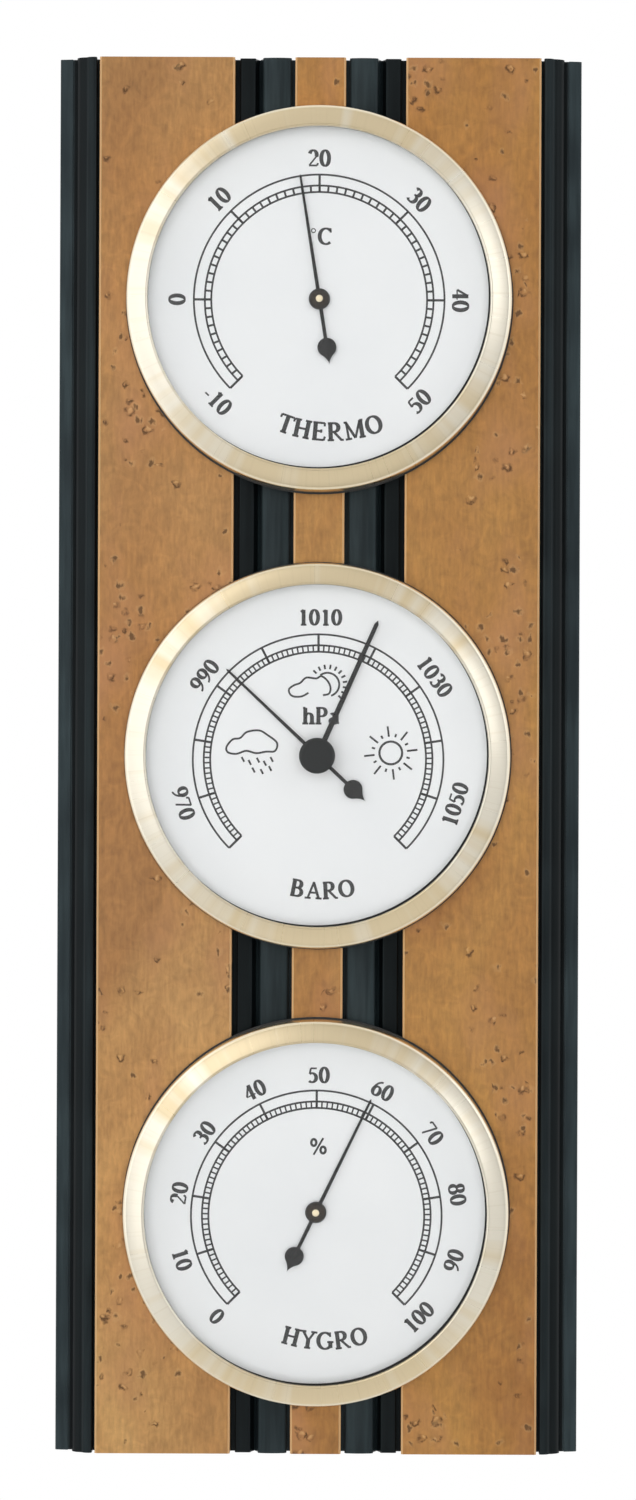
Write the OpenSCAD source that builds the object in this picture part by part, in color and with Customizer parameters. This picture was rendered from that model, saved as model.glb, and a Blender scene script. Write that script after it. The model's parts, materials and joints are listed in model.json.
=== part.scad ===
// Wall-hung analogue weather station: a veneered and moulded board that carries a
// thermometer, a barometer and a hygrometer insert, one above another.
// Millimetres, +Z up, +X to the right as seen from the front, the dials face -Y.
// The origin is the centre of the hanger's entry hole, on the plane of the wall.
// Inside an insert, heights h run forward from the veneer face, and angles run
// clockwise from twelve o'clock as seen from the front.

/* [Board] */
// Width over both edge mouldings
board_w = 138.8; // [136:0.1:150]
// Height of the board
board_h = 370; // [366:1:420]
// Thickness from the wall to the veneer face
board_t = 18; // [18:0.5:22]
// Thickness of the panels and black strips glued on the core
panel_t = 6; // [5.5:0.5:7]
// Width of each edge moulding
edge_w = 10.9; // [10:0.1:12]
// Width of each black strip beside the centre strip
inner_w = 16; // [15:0.1:17]
// Width of the veneered centre strip
centre_w = 13.4; // [12:0.1:15]
// Width of the bevel along the veneered panels
bevel_w = 0.5; // [0.4:0.1:1]
// Depth of the bevel along the veneered panels
bevel_d = 0.4; // [0.3:0.1:0.8]
// Distance between neighbouring dial centres
dial_pitch = 120.5; // [110:0.1:130]
// Radius of the holes through the board
hole_r = 44; // [44:0.1:45]

/* [Hanger] */
// Distance from the board's top edge to the hanger's entry hole
hanger_drop = 9; // [8.5:0.5:10]
// Radius of the entry hole
entry_r = 3.8; // [3.5:0.1:4]
// Half the width of the slot above the entry hole
slot_r = 2.1; // [1.8:0.1:2.3]
// Rise from the entry hole's centre to the slot's end centre
slot_rise = 3.4; // [3:0.1:3.6]
// Width of the hanger plate
hanger_w = 44; // [40:1:50]
// Thickness of the hanger plate
hanger_t = 1.2; // [1:0.1:1.5]

/* [Insert case] */
// Outer radius of the plastic housing
case_r = 42.5; // [42:0.1:43]
// Wall of the housing
case_wall = 1.5; // [1.2:0.1:1.8]
// Depth of the housing behind the veneer face
case_d = 17; // [16.8:0.1:17.5]
// Thickness of the housing's front flange
flange_t = 2; // [1.5:0.1:2]
// Width of the housing's rim that shows round the bezel's foot
case_rim_w = 0.5; // [0.4:0.1:1]
// Thickness of that rim
case_rim_t = 0.5; // [0.4:0.1:0.8]
// Radius of the dial, spacer and lens
dial_r = 47.4; // [47:0.1:48]
// Thickness of the dial plate
dial_t = 0.6; // [0.5:0.1:0.6]
// Height of the spacer between dial and lens
spacer_h = 4; // [4:0.1:5]
// Thickness of the lens
lens_t = 1.5; // [1.2:0.1:1.8]

/* [Bezel] */
// Outer radius of the bezel
bezel_r = 50.8; // [50.8:0.1:52]
// Radius of the opening
sight_r = 45.05; // [44.5:0.05:45.3]
// Thickness of the pressed brass
bezel_t = 0.7; // [0.5:0.1:0.8]
// Radius of the rounded outer lip
lip_r = 1.2; // [1:0.1:1.5]
// Rise of the sloping face from the lip to the opening
bezel_rise = 1.8; // [1.6:0.1:2]

/* [Pointers] */
// Length of a pointer from its centre to its tip
pointer_len = 33.3; // [30:0.1:36]
// Width of a pointer at its centre
pointer_w = 1; // [0.8:0.1:1.2]
// Width of a pointer at its tip
pointer_tip_w = 0.6; // [0.4:0.1:0.8]
// Radius of the round eye around the arbor
pointer_eye_r = 2.8; // [2.4:0.1:3]
// Distance from the centre to the counterweight
tail_len = 12.9; // [10:0.1:14]
// Radius of the counterweight
tail_r = 2.5; // [2:0.1:2.8]
// Length of the counterweight's point past its centre
tail_point = 4.6; // [4:0.1:5]
// Length of the barometer's marker hand
marker_len = 39.1; // [36:0.1:41]
// Temperature shown at rest, in degrees Celsius
shown_temperature = 18; // [-10:1:50]
// Pressure shown at rest, in hectopascals
shown_pressure = 992.7; // [960:0.1:1060]
// Relative humidity shown at rest, in percent
shown_humidity = 59.6; // [0:0.1:100]
// Angle of the marker hand at rest
marker_angle = 24; // [-180:1:180]

/* [Coil movement] */
// Number of turns of the sensing coil
coil_turns = 7; // [5:1:7]
// Thickness of the coil's strip
coil_t = 0.5; // [0.3:0.1:0.5]
// Width of the coil's strip
coil_w = 4; // [3:0.5:4]
// Radius of the arbor's collet that holds the coil
collet_r = 1.7; // [1.5:0.1:2]
// Distance from the arbor to the adjuster's post
post_dist = 13.2; // [12.5:0.1:14]
// Half the length of the bracket's bridge
bracket_half = 22; // [20:0.5:24]

/* [Barometer movement] */
// Module of the gear teeth
gear_m = 0.4; // [0.4:0.1:0.4]
// Teeth on the pointer's pinion
pinion_teeth = 10; // [10:1:10]
// Teeth that a full circle of the sector would have
sector_teeth = 120; // [120:1:120]
// Radius of the aneroid capsule
capsule_r = 17; // [16:0.5:18]
// Distance from the sector's pivot to its drive pin
tail_pin_dist = 3; // [2.8:0.1:3.2]
// Distance from the rocking shaft to the capsule's post
rock_short = 3.5; // [3.5:0.1:3.8]

/* [Hidden] */
$fn = 96;
cut = 1;
fit_gap = 0.05;

// Main places
core_t = board_t - panel_t;
top_z = hanger_drop;
bottom_z = top_z - board_h;
middle_z = (top_z + bottom_z) / 2;
dial_z = [middle_z + dial_pitch, middle_z, middle_z - dial_pitch];
centre_half = centre_w / 2;
panel_in = centre_half + inner_w;
panel_out = board_w / 2 - edge_w;

// Heights of the insert's layers
dial_h = flange_t;
dial_face = dial_h + dial_t;
lens_h = dial_face + spacer_h;
lens_face = lens_h + lens_t;
case_back = -case_d;
case_floor = case_back + case_wall;
pointer_h = 3.8;
pointer_t = 0.4;
arbor_r = 0.75;

// Angle shown by each dial, and the scale that it follows
temperature_angle = (shown_temperature - 20) * 4.5;
pressure_angle = (shown_pressure - 1010) * 2.7;
humidity_angle = (shown_humidity - 50) * 2.7;

// A dial's own frame: x to the right, y up, and height h forward from the veneer face
module at_dial(i)
    translate([0, -board_t, dial_z[i]])
        rotate([90, 0, 0])
            children();

module at_height(h) translate([0, 0, h]) children();

module clockwise(angle) rotate([0, 0, -angle]) children();

module disc(r, h0, h1)
    at_height(h0)
        cylinder(r = r, h = h1 - h0);

module ring(r_out, r_in, h0, h1)
    at_height(h0)
        linear_extrude(h1 - h0)
            difference() {
                circle(r_out);
                circle(r_in);
            }

module block(x0, x1, y0, y1, h0, h1)
    translate([x0, y0, h0])
        cube([x1 - x0, y1 - y0, h1 - h0]);

// A stretch of the board's height, with an outline drawn in plan
module board_length()
    translate([0, 0, bottom_z])
        linear_extrude(board_h)
            children();

// The three round holes that take the inserts
module insert_holes()
    for (i = [0:2])
        at_dial(i)
            disc(hole_r, -board_t - cut, cut);

// The board

hanger_low = -6;
hanger_high = 7.5;
hanger_mid = (hanger_low + hanger_high) / 2;
hanger_screw_x = 17;
pocket_d = 8;
pocket_gap = 0.6;
screw_r = 1.4;
screw_head_r = 3;
screw_len = 10;
recess_half_w = 0.4;
recess_half_len = 2.2;
recess_d = 0.5;

// A hole shape with a round entry and a slot that rises from it
module keyhole(r_entry, r_slot) {
    circle(r_entry);
    translate([-r_slot, 0])
        square([2 * r_slot, slot_rise]);
    translate([0, slot_rise])
        circle(r_slot);
}

// Something drawn on the wall side, at a depth into the board
module into_back(d0, d1)
    translate([0, -d0, 0])
        rotate([90, 0, 0])
            linear_extrude(d1 - d0)
                children();

module hanger_screw_places()
    for (x = [-hanger_screw_x, hanger_screw_x])
        translate([x, 0, hanger_mid])
            rotate([90, 0, 0])
                children();

module core_board()
    color("tan")
        difference() {
            translate([-panel_out, -core_t, bottom_z])
                cube([2 * panel_out, core_t, board_h]);
            insert_holes();
            into_back(-cut, hanger_t)
                translate([-hanger_w / 2, hanger_low])
                    square([hanger_w, hanger_high - hanger_low]);
            into_back(0, pocket_d)
                keyhole(entry_r + pocket_gap, entry_r);
            hanger_screw_places()
                cylinder(r = screw_r, h = screw_len);
        }

// A panel's plan outline, with both front edges bevelled
module panel_outline(x0, x1)
    polygon([
        [x0, -core_t], [x1, -core_t], [x1, bevel_d - board_t],
        [x1 - bevel_w, -board_t], [x0 + bevel_w, -board_t], [x0, bevel_d - board_t]
    ]);

module burl_panel(x0, x1)
    color("peru")
        difference() {
            board_length()
                panel_outline(x0, x1);
            insert_holes();
        }

module left_burl_panel() burl_panel(-panel_out, -panel_in);

module centre_burl_strip() burl_panel(-centre_half, centre_half);

module right_burl_panel() burl_panel(panel_in, panel_out);

// Level behind the veneer face of the gaps beside the mouldings
gap_level = 4.8;

// Points of an arc from one angle to another, for profiles
function arc(cx, cy, rx, ry, a0, a1, steps = 8) =
    [for (i = [0:steps]) let (a = a0 + (a1 - a0) * i / steps) [cx + rx * cos(a), cy + ry * sin(a)]];

// The edge moulding's section: distance outwards from the panel, and level behind
// the veneer face. Past a deep gap come a round bead, a rounded slope that falls to a
// narrow groove, and a flat outer step that leans outwards to a rounded corner.
edge_gap = 0.8;
bead_w = 2.6;
bead_side = 0.7;
slope_start = edge_gap + bead_w;
edge_step = 6.3;
edge_groove_w = 1.2;
edge_groove_d = 0.6;
edge_flat = 5.2;
edge_tilt = 0.4;
edge_round = 0.8;
groove_end = edge_step + edge_groove_w;
edge_profile = concat(
    [[0, -board_t], [0, -gap_level], [edge_gap, -gap_level]],
    arc(edge_gap + bead_side, -1, bead_side, 0.6, 180, 90, 3),
    arc(edge_gap + bead_side, -1.6, bead_w - bead_side, 1.2, 90, 25, 6),
    [[slope_start, -1.35]],
    arc(slope_start, -4.2, edge_step - slope_start, 2.7, 85, 12, 6),
    [[edge_step, -edge_flat - edge_groove_d], [groove_end, -edge_flat - edge_groove_d]],
    [[groove_end, -edge_flat]],
    arc(edge_w - edge_round, -edge_flat - edge_tilt - edge_round, edge_round, edge_round, 84, 0, 4),
    [[edge_w, -board_t]]
);

module edge_moulding()
    color("darkslategray")
        board_length()
            polygon([for (p = edge_profile) [panel_out + p[0], -board_t - p[1]]]);

module right_edge_moulding() edge_moulding();

module left_edge_moulding() mirror([1, 0, 0]) edge_moulding();

// The black strip's section: distance outwards from the centre strip, and level
// behind the veneer face. A broad crowned band, a V groove and a lower narrow band.
strip_gap = 1;
broad_w = 7.6;
broad_level = 1.1;
shoulder_w = 1.2;
shoulder_d = 0.9;
crown_half = 2.2;
crown_rise = 0.25;
groove_w = 1.9;
groove_side = 3.2;
groove_bottom = 5.4;
narrow_level = 2.2;
narrow_round = 0.5;
narrow_gap = 1.3;
broad_end = strip_gap + broad_w;
narrow_start = broad_end + groove_w;
narrow_end = inner_w - narrow_gap;
inner_profile = concat(
    [[0, -panel_t], [0, -gap_level], [strip_gap, -gap_level]],
    arc(strip_gap + shoulder_w, -broad_level - shoulder_d, shoulder_w, shoulder_d, 180, 90, 4),
    arc((strip_gap + broad_end) / 2, -broad_level, crown_half, crown_rise, 165, 15, 6),
    arc(broad_end - shoulder_w, -broad_level - shoulder_d, shoulder_w, shoulder_d, 90, 0, 4),
    [[broad_end, -groove_side], [broad_end + groove_w / 2, -groove_bottom], [narrow_start, -groove_side]],
    arc(narrow_start + narrow_round, -narrow_level - narrow_round, narrow_round, narrow_round, 180, 90, 3),
    arc(narrow_end - narrow_round, -narrow_level - narrow_round, narrow_round, narrow_round, 90, 0, 3),
    [[narrow_end, -gap_level], [inner_w, -gap_level], [inner_w, -panel_t]]
);

module inner_moulding()
    color("darkslategray")
        difference() {
            board_length()
                polygon([for (p = inner_profile) [centre_half + p[0], -board_t - p[1]]]);
            insert_holes();
        }

module right_inner_moulding() inner_moulding();

module left_inner_moulding() mirror([1, 0, 0]) inner_moulding();

// The hanger

module hanger_plate()
    color("silver")
        difference() {
            into_back(0, hanger_t)
                difference() {
                    translate([-hanger_w / 2, hanger_low])
                        square([hanger_w, hanger_high - hanger_low]);
                    keyhole(entry_r, slot_r);
                }
            hanger_screw_places()
                screw_head_cone();
        }

module screw_head_cone() cylinder(r1 = screw_head_r, r2 = screw_r, h = hanger_t);

module hanger_screws()
    color("silver")
        hanger_screw_places()
            difference() {
                union() {
                    screw_head_cone();
                    at_height(hanger_t)
                        cylinder(r = screw_r, h = screw_len - hanger_t);
                }
                for (angle = [0, 90])
                    clockwise(angle)
                        block(-recess_half_w, recess_half_w, -recess_half_len, recess_half_len,
                            -cut, recess_d);
            }

// The insert case, alike on all three

// A cup that stands in the board's hole, a thin rim that rests on the veneer, and a flange
// that carries the dial and fills the bezel's skirt
flange_gap = 0.1;
module housing_shell()
    difference() {
        union() {
            disc(case_r, case_back, 0);
            disc(bezel_r + case_rim_w, 0, case_rim_t);
            disc(bezel_r - bezel_t - flange_gap, 0, flange_t);
        }
        disc(case_r - case_wall, case_floor, flange_t + cut);
    }

adjuster_r = 5;
foot_screw_x = 26;
foot_screw_r = 1.1;
vent_r = 2;
vent_ring_r = 32;
vents = 8;

module coil_housing()
    color("dimgray")
        difference() {
            housing_shell();
            disc(adjuster_r + fit_gap, case_back - cut, case_floor + cut);
            for (x = [-foot_screw_x, foot_screw_x])
                translate([x, 0, 0])
                    disc(foot_screw_r, case_back - cut, case_floor + cut);
            for (i = [0:vents - 1])
                clockwise(360 * (i + 0.5) / vents)
                    translate([0, vent_ring_r, 0])
                        disc(vent_r, case_back - cut, case_floor + cut);
        }

grip_back = -14;
grip_front = -7;
module grip_band() color("black") ring(hole_r, case_r, grip_back, grip_front);

dial_bore_r = 2;
module dial_plate() color("whitesmoke") ring(dial_r, dial_bore_r, dial_h, dial_face);

spacer_wall = 1.5;
module spacer_ring() color("white") ring(dial_r, dial_r - spacer_wall, dial_face, lens_h);

module lens_disc() color("lightcyan", 0.3) disc(dial_r, lens_h, lens_face);

// The bezel's section: a straight skirt, a rounded lip, a face that slopes up and
// inwards, and an inner edge turned down onto the lens
bezel_foot = case_rim_t + fit_gap;
lip_drop = 1.1;
lip_x = bezel_r - lip_r;
lip_y = lens_face - lip_drop;
face_y = lip_y + lip_r;
eye_round = 0.55;
eye_x = sight_r + eye_round;
eye_y = face_y + bezel_rise - eye_round;
bezel_profile = concat(
    [[bezel_r, bezel_foot]],
    arc(lip_x, lip_y, lip_r, lip_r, 0, 90, 8),
    arc(eye_x, eye_y, eye_round, eye_round, 66, 180, 8),
    [[sight_r, lens_face], [sight_r + bezel_t, lens_face]],
    [[sight_r + bezel_t, eye_y - 0.2], [eye_x + 0.6, eye_y - 0.35]],
    arc(lip_x, lip_y, lip_r - bezel_t, lip_r - bezel_t, 90, 0, 4),
    [[bezel_r - bezel_t, bezel_foot]]
);

module bezel_ring() color("palegoldenrod") rotate_extrude() polygon(bezel_profile);

// The thermometer and hygrometer movement: a sensing coil turns the pointer's arbor

bridge_h = -4;
bridge_t = 0.8;
bridge_w = 12;
foot_len = 7;
arbor_back = case_back + 1.4;
arbor_step = case_back + 2.7;
arbor_pivot_r = 0.5;
arbor_stand = 0.5;
collet_lip = 0.2;
coil_h = -11.2;
coil_gap = 0.02;
post_r = 0.8;
coil_in_r = collet_r + coil_gap + coil_t / 2;
coil_out_r = post_dist - post_r - coil_gap - coil_t / 2;
adjuster_arm_w = 3;
adjuster_face = case_floor + 0.85;
adjuster_back = case_back - 0.6;
adjuster_lip = 1;
adjuster_flange = 1.5;
driver_half_len = 4;
driver_half_w = 0.6;
driver_d = 0.5;
pivot_hole_r = 0.55;
foot_head_r = 2.1;
foot_head_h = 1;

module bracket()
    color("goldenrod")
        difference() {
            union() {
                block(-bracket_half, bracket_half, -bridge_w / 2, bridge_w / 2,
                    bridge_h, bridge_h + bridge_t);
                for (side = [0, 1])
                    mirror([side, 0, 0]) {
                        block(bracket_half - bridge_t, bracket_half, -bridge_w / 2, bridge_w / 2,
                            case_floor, bridge_h + bridge_t);
                        block(bracket_half - bridge_t, bracket_half + foot_len, -bridge_w / 2, bridge_w / 2,
                            case_floor, case_floor + bridge_t);
                    }
            }
            disc(arbor_r + fit_gap, bridge_h - cut, bridge_h + bridge_t + cut);
            for (x = [-foot_screw_x, foot_screw_x])
                translate([x, 0, 0])
                    disc(foot_screw_r, case_floor - cut, case_floor + bridge_t + cut);
        }

// A slotted pan-head screw standing forward, its head resting at height h
slot_half_w = 0.25;
slot_start = 0.6;
module pan_screw(r, r_head, h_head, tip, h)
    difference() {
        union() {
            disc(r, tip, h);
            disc(r_head, h, h + h_head);
        }
        block(-r_head - cut, r_head + cut, -slot_half_w, slot_half_w,
            h + slot_start * h_head, h + h_head + cut);
    }

module bracket_screws()
    color("silver")
        for (x = [-foot_screw_x, foot_screw_x])
            translate([x, 0, 0])
                pan_screw(foot_screw_r, foot_head_r, foot_head_h, case_back, case_floor + bridge_t);

module adjuster()
    color("goldenrod")
        difference() {
            union() {
                disc(adjuster_r, case_back - fit_gap, case_floor + fit_gap);
                disc(adjuster_r + adjuster_lip, adjuster_back, case_back - fit_gap);
                disc(adjuster_r + adjuster_flange, case_floor + fit_gap, adjuster_face);
                block(0, post_dist, -adjuster_arm_w / 2, adjuster_arm_w / 2,
                    case_floor + fit_gap, adjuster_face);
                translate([post_dist, 0, 0]) {
                    disc(adjuster_arm_w / 2, case_floor + fit_gap, adjuster_face);
                    disc(post_r, case_floor + fit_gap, coil_h + coil_w);
                }
            }
            block(-driver_half_len, driver_half_len, -driver_half_w, driver_half_w,
                case_back - cut, case_back + driver_d);
            disc(pivot_hole_r, arbor_back - 0.3, case_floor + cut);
        }

// The centre line of a flat spiral, and the strip's two faces
function spiral_point(r0, r1, turns, t, side) =
    let (a = 360 * turns * (t - 1), r = r0 + (r1 - r0) * t + side)
    [r * cos(a), r * sin(a)];

function spiral_strip(r0, r1, turns, thick, per_turn = 24) =
    let (n = round(turns * per_turn))
    concat(
        [for (i = [0:n]) spiral_point(r0, r1, turns, i / n, thick / 2)],
        [for (i = [n:-1:0]) spiral_point(r0, r1, turns, i / n, -thick / 2)]
    );

module sensing_coil(shade)
    color(shade)
        at_height(coil_h)
            linear_extrude(coil_w)
                polygon(spiral_strip(coil_in_r, coil_out_r, coil_turns, coil_t));

module coil_arbor()
    color("silver") {
        disc(arbor_pivot_r, arbor_back, arbor_step);
        disc(arbor_r, arbor_step, pointer_h + pointer_t + arbor_stand);
        disc(collet_r, coil_h - collet_lip, coil_h + coil_w + collet_lip);
    }

// The hands

// Flat shapes of one thickness, made one piece
module united_sheets(t)
    for (i = [0:$children - 1])
        linear_extrude(t)
            children(i);

// A straight hand along twelve o'clock, wider at its root than at its tip, that runs
// on past the centre as a tail
module tapered_hand(w_root, w_tip, length, tail, w_tail)
    polygon([
        [-w_tail / 2, -tail], [-w_root / 2, 0], [-w_tip / 2, length - w_tip], [0, length],
        [w_tip / 2, length - w_tip], [w_root / 2, 0], [w_tail / 2, -tail]
    ]);

// A round counterweight drawn out to a hollow-sided point
tail_stem_w = 0.9;
tail_neck = 0.82;
tail_hollow = 1.8;
tail_steps = 8;
tail_from = tail_r * sqrt(1 - tail_neck * tail_neck);
function tail_side(side) = [
    for (i = [0:tail_steps])
        let (k = side > 0 ? i / tail_steps : 1 - i / tail_steps)
            [side * tail_r * tail_neck * pow(1 - k, tail_hollow), -tail_from - (tail_point - tail_from) * k]
];

module pointer(angle, bore_r)
    color("black")
        clockwise(angle)
            at_height(pointer_h)
                difference() {
                    united_sheets(pointer_t) {
                        circle(pointer_eye_r);
                        tapered_hand(pointer_w, pointer_tip_w, pointer_len, tail_len, tail_stem_w);
                        translate([0, -tail_len])
                            circle(tail_r);
                        translate([0, -tail_len])
                            polygon(concat(tail_side(1), tail_side(-1)));
                    }
                    disc(bore_r, -cut, pointer_t + cut);
                }

cap_r = 2.6;
cap_h = 1.3;
module hub_cap()
    color("goldenrod")
        difference() {
            at_height(pointer_h + pointer_t)
                rotate_extrude()
                    polygon(concat([[0, 0]], arc(0, 0, cap_r, cap_h, 0, 90, 8)));
            disc(arbor_r, pointer_h, pointer_h + pointer_t + arbor_stand);
        }

// The barometer's movement: the capsule's post tilts the rocking shaft, whose long
// arm slides the link, which swings the toothed sector that turns the pinion

plate_t = 0.8;
base_t = 1.2;
base_r = 38;
base_face = case_floor + base_t;
capsule_mid = base_face + 2.4;
capsule_top = base_face + 4.8;
lower_h = -6.2;
lower_face = lower_h + plate_t;
upper_h = -1.6;
upper_face = upper_h + plate_t;
sector_r = gear_m * sector_teeth / 2;
pinion_r = gear_m * pinion_teeth / 2;
sector_y = -(sector_r + pinion_r);
sector_h = -4.2;
rock_y = -rock_short;
rock_h = -7.7;
rock_r = 0.8;
rock_arm_x = 12.5;
link_h = -2.9;
link_t = 0.6;
link_w = 2.4;
frame_points = [[-22, 8], [22, 8], [0, -34]];
frame_round = 3.5;
pillar_r = 2;
pillar_hole_r = 0.9;
base_screw_ring = 34;
base_screws = 3;
adjust_y = 25;
adjust_r = 1.4;
adjust_hole_r = 3.3;
baro_arbor_r = 0.8;
baro_pivot_r = 0.45;
sector_pivot_r = 0.6;
boss_r = 2;
air_holes = [[-12, -30], [12, -30]];
frame_head_r = 1.9;
frame_thread = 3.5;

module barometer_case()
    color("dimgray")
        difference() {
            housing_shell();
            translate([0, adjust_y, 0])
                disc(adjust_hole_r, case_back - cut, case_floor + cut);
            at_base_screws()
                disc(foot_screw_r, case_back - cut, case_floor + cut);
            at_places(air_holes)
                disc(vent_r, case_back - cut, case_floor + cut);
        }

module at_base_screws()
    for (i = [0:base_screws - 1])
        clockwise(360 * i / base_screws)
            translate([0, base_screw_ring, 0])
                children();

module at_places(places)
    for (p = places)
        translate([p[0], p[1], 0])
            children();

module base_plate()
    color("goldenrod")
        difference() {
            disc(base_r, case_floor, base_face);
            translate([0, adjust_y, 0])
                disc(adjust_r + fit_gap, case_floor - cut, base_face + cut);
            at_base_screws()
                disc(foot_screw_r, case_floor - cut, base_face + cut);
            disc(boss_r, case_floor - cut, base_face + cut);
            at_places(air_holes)
                disc(vent_r, case_floor - cut, base_face + cut);
        }

// A corrugated diaphragm's height above its flat centre, out to its rim
shell_t = 0.5;
flat_r = 3;
ripples = 4;
ripple_rise = 0.3;
rim_w = 1;
slope_w = 1.5;
ripple_end = capsule_r - rim_w - slope_w;
capsule_step = capsule_mid - base_face - shell_t;
function ripple(r) =
    r < flat_r ? 0 :
    r < ripple_end ? ripple_rise * (1 - cos(360 * ripples * (r - flat_r) / (ripple_end - flat_r))) :
    r < ripple_end + slope_w ? capsule_step * (r - ripple_end) / slope_w :
    capsule_step;

diaphragm_steps = 48;
diaphragm_radii = concat(
    [0],
    [for (i = [0:diaphragm_steps]) flat_r + (ripple_end - flat_r) * i / diaphragm_steps],
    [capsule_r - rim_w, capsule_r]
);
diaphragm_section = concat(
    [for (r = diaphragm_radii) [r, ripple(r)]],
    [for (i = [len(diaphragm_radii) - 1:-1:0]) [diaphragm_radii[i], ripple(diaphragm_radii[i]) + shell_t]]
);

module diaphragm() rotate_extrude() polygon(diaphragm_section);

module capsule_lower()
    color("silver") {
        at_height(base_face)
            diaphragm();
        disc(boss_r, case_floor, base_face);
    }

module capsule_upper()
    color("silver")
        at_height(capsule_top)
            mirror([0, 0, 1])
                diaphragm();

post_foot_r = 2.5;
post_foot_t = 0.4;
post_dome_r = 1;
post_top = rock_h - 0.5;
module capsule_post()
    color("goldenrod") {
        disc(post_foot_r, capsule_top, capsule_top + post_foot_t);
        intersection() {
            at_height(post_top - post_dome_r)
                sphere(post_dome_r);
            disc(post_foot_r, capsule_top, post_top);
        }
    }

module pillars()
    color("goldenrod")
        at_places(frame_points) {
            difference() {
                disc(pillar_r, base_face, lower_h);
                disc(pillar_hole_r, lower_h - frame_thread, lower_h + cut);
            }
            ring(pillar_r, pillar_hole_r, lower_face, upper_h);
        }

// The movement plates' outline: a triangle with round corners over the pillars, whose
// points run clockwise
corner_steps = 8;
function heading(p, q) = atan2(q[1] - p[1], q[0] - p[0]);
function frame_corner(i) =
    let (
        p = frame_points[i],
        from = heading(frame_points[(i + 2) % 3], p) + 90,
        to = heading(p, frame_points[(i + 1) % 3]) + 90,
        turn = (from - to + 360) % 360
    )
    arc(p[0], p[1], frame_round, frame_round, from, from - turn, corner_steps);

module frame_outline() polygon([for (i = [0:2]) for (p = frame_corner(i)) p]);

module frame_plate(h)
    at_height(h)
        linear_extrude(plate_t)
            difference() {
                frame_outline();
                for (p = frame_points)
                    translate(p)
                        circle(pillar_hole_r);
                translate([0, sector_y])
                    circle(sector_pivot_r + fit_gap);
            }

lug_xs = [-9, 15];
lug_t = 1;
lug_half = 2;
lug_drop = 1.6;
arm_window = [0.8, 1.3];
module lower_plate()
    color("goldenrod") {
        difference() {
            frame_plate(lower_h);
            disc(baro_pivot_r + fit_gap, lower_h - cut, lower_face + cut);
            block(rock_arm_x - arm_window[0], rock_arm_x + arm_window[0],
                rock_y - arm_window[1], rock_y + arm_window[1], lower_h - cut, lower_face + cut);
        }
        for (x = lug_xs)
            difference() {
                block(x, x + lug_t, rock_y - lug_half, rock_y + lug_half, rock_h - lug_drop, lower_h);
                translate([x - cut, rock_y, rock_h])
                    rotate([0, 90, 0])
                        cylinder(r = rock_r + fit_gap, h = lug_t + 2 * cut);
            }
    }

hair_out_r = 6;
stud_r = 0.5;
stud_gap = 0.12;
stud_len = 1.3;
module top_plate()
    color("goldenrod") {
        difference() {
            frame_plate(upper_h);
            disc(baro_arbor_r + fit_gap, upper_h - cut, upper_face + cut);
        }
        translate([hair_out_r + stud_r + stud_gap, 0, 0])
            disc(stud_r, upper_face, upper_face + stud_len);
    }

rock_tip_h = -2;
rock_stand = 0.5;
finger_half_w = 1;
finger_half_t = 0.4;
finger_end = 1.2;
rock_arm_half = [0.5, 0.4];
module rocking_shaft()
    color("silver") {
        translate([lug_xs[0] - rock_stand, rock_y, rock_h])
            rotate([0, 90, 0])
                cylinder(r = rock_r, h = lug_xs[1] - lug_xs[0] + lug_t + 2 * rock_stand);
        block(-finger_half_w, finger_half_w, rock_y, finger_end,
            rock_h - finger_half_t, rock_h + finger_half_t);
        block(rock_arm_x - rock_arm_half[0], rock_arm_x + rock_arm_half[0],
            rock_y - rock_arm_half[1], rock_y + rock_arm_half[1], rock_h, rock_tip_h);
    }

// The link is an angle strip: its upright leg takes the shaft's long arm, and the slot
// across its foot takes the sector's drive pin
tail_pin_r = 0.5;
arm_slot = [0.7, 0.6];
pin_slot = [1, tail_pin_r + 0.06];
link_end = 1.7;
module link()
    color("silver")
        at_height(link_h)
            linear_extrude(link_t)
                difference() {
                    union() {
                        translate([rock_arm_x - link_w / 2, sector_y - link_w / 2])
                            square([link_w, rock_y - sector_y + link_w]);
                        translate([tail_pin_dist - link_end, sector_y - link_w / 2])
                            square([rock_arm_x - tail_pin_dist + link_end, link_w]);
                    }
                    translate([rock_arm_x, rock_y] - arm_slot)
                        square(2 * arm_slot);
                    translate([tail_pin_dist, sector_y] - pin_slot)
                        square(2 * pin_slot);
                }

// Involute teeth. Angles are in degrees and lengths in millimetres.
press_angle = 20;
backlash = 0.06;
sector_tip = 0.5 * gear_m;
pinion_tip = 0.8 * gear_m;
root_gap = 0.1;
root_sink = 0.1;
flank_steps = 5;
tooth_w = PI * gear_m / 2 - backlash / 2;

function involute(a) = tan(a) * 180 / PI - a;

function half_tooth(r, pitch_r) =
    let (base_r = pitch_r * cos(press_angle), at = max(r, base_r))
    tooth_w / (2 * pitch_r) * 180 / PI + involute(press_angle) - involute(acos(base_r / at));

function flank(pitch_r, root_r, tip_r, side) = [
    for (i = [-1:flank_steps])
        let (
            low = max(root_r, pitch_r * cos(press_angle)),
            k = side < 0 ? i : flank_steps - 1 - i,
            r = k < 0 ? root_r - root_sink : low + (tip_r - low) * k / flank_steps,
            a = half_tooth(r, pitch_r) * side
        )
        [r * sin(a), r * cos(a)]
];

module tooth(pitch_r, root_r, tip_r)
    polygon(concat(flank(pitch_r, root_r, tip_r, -1), flank(pitch_r, root_r, tip_r, 1)));

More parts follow.
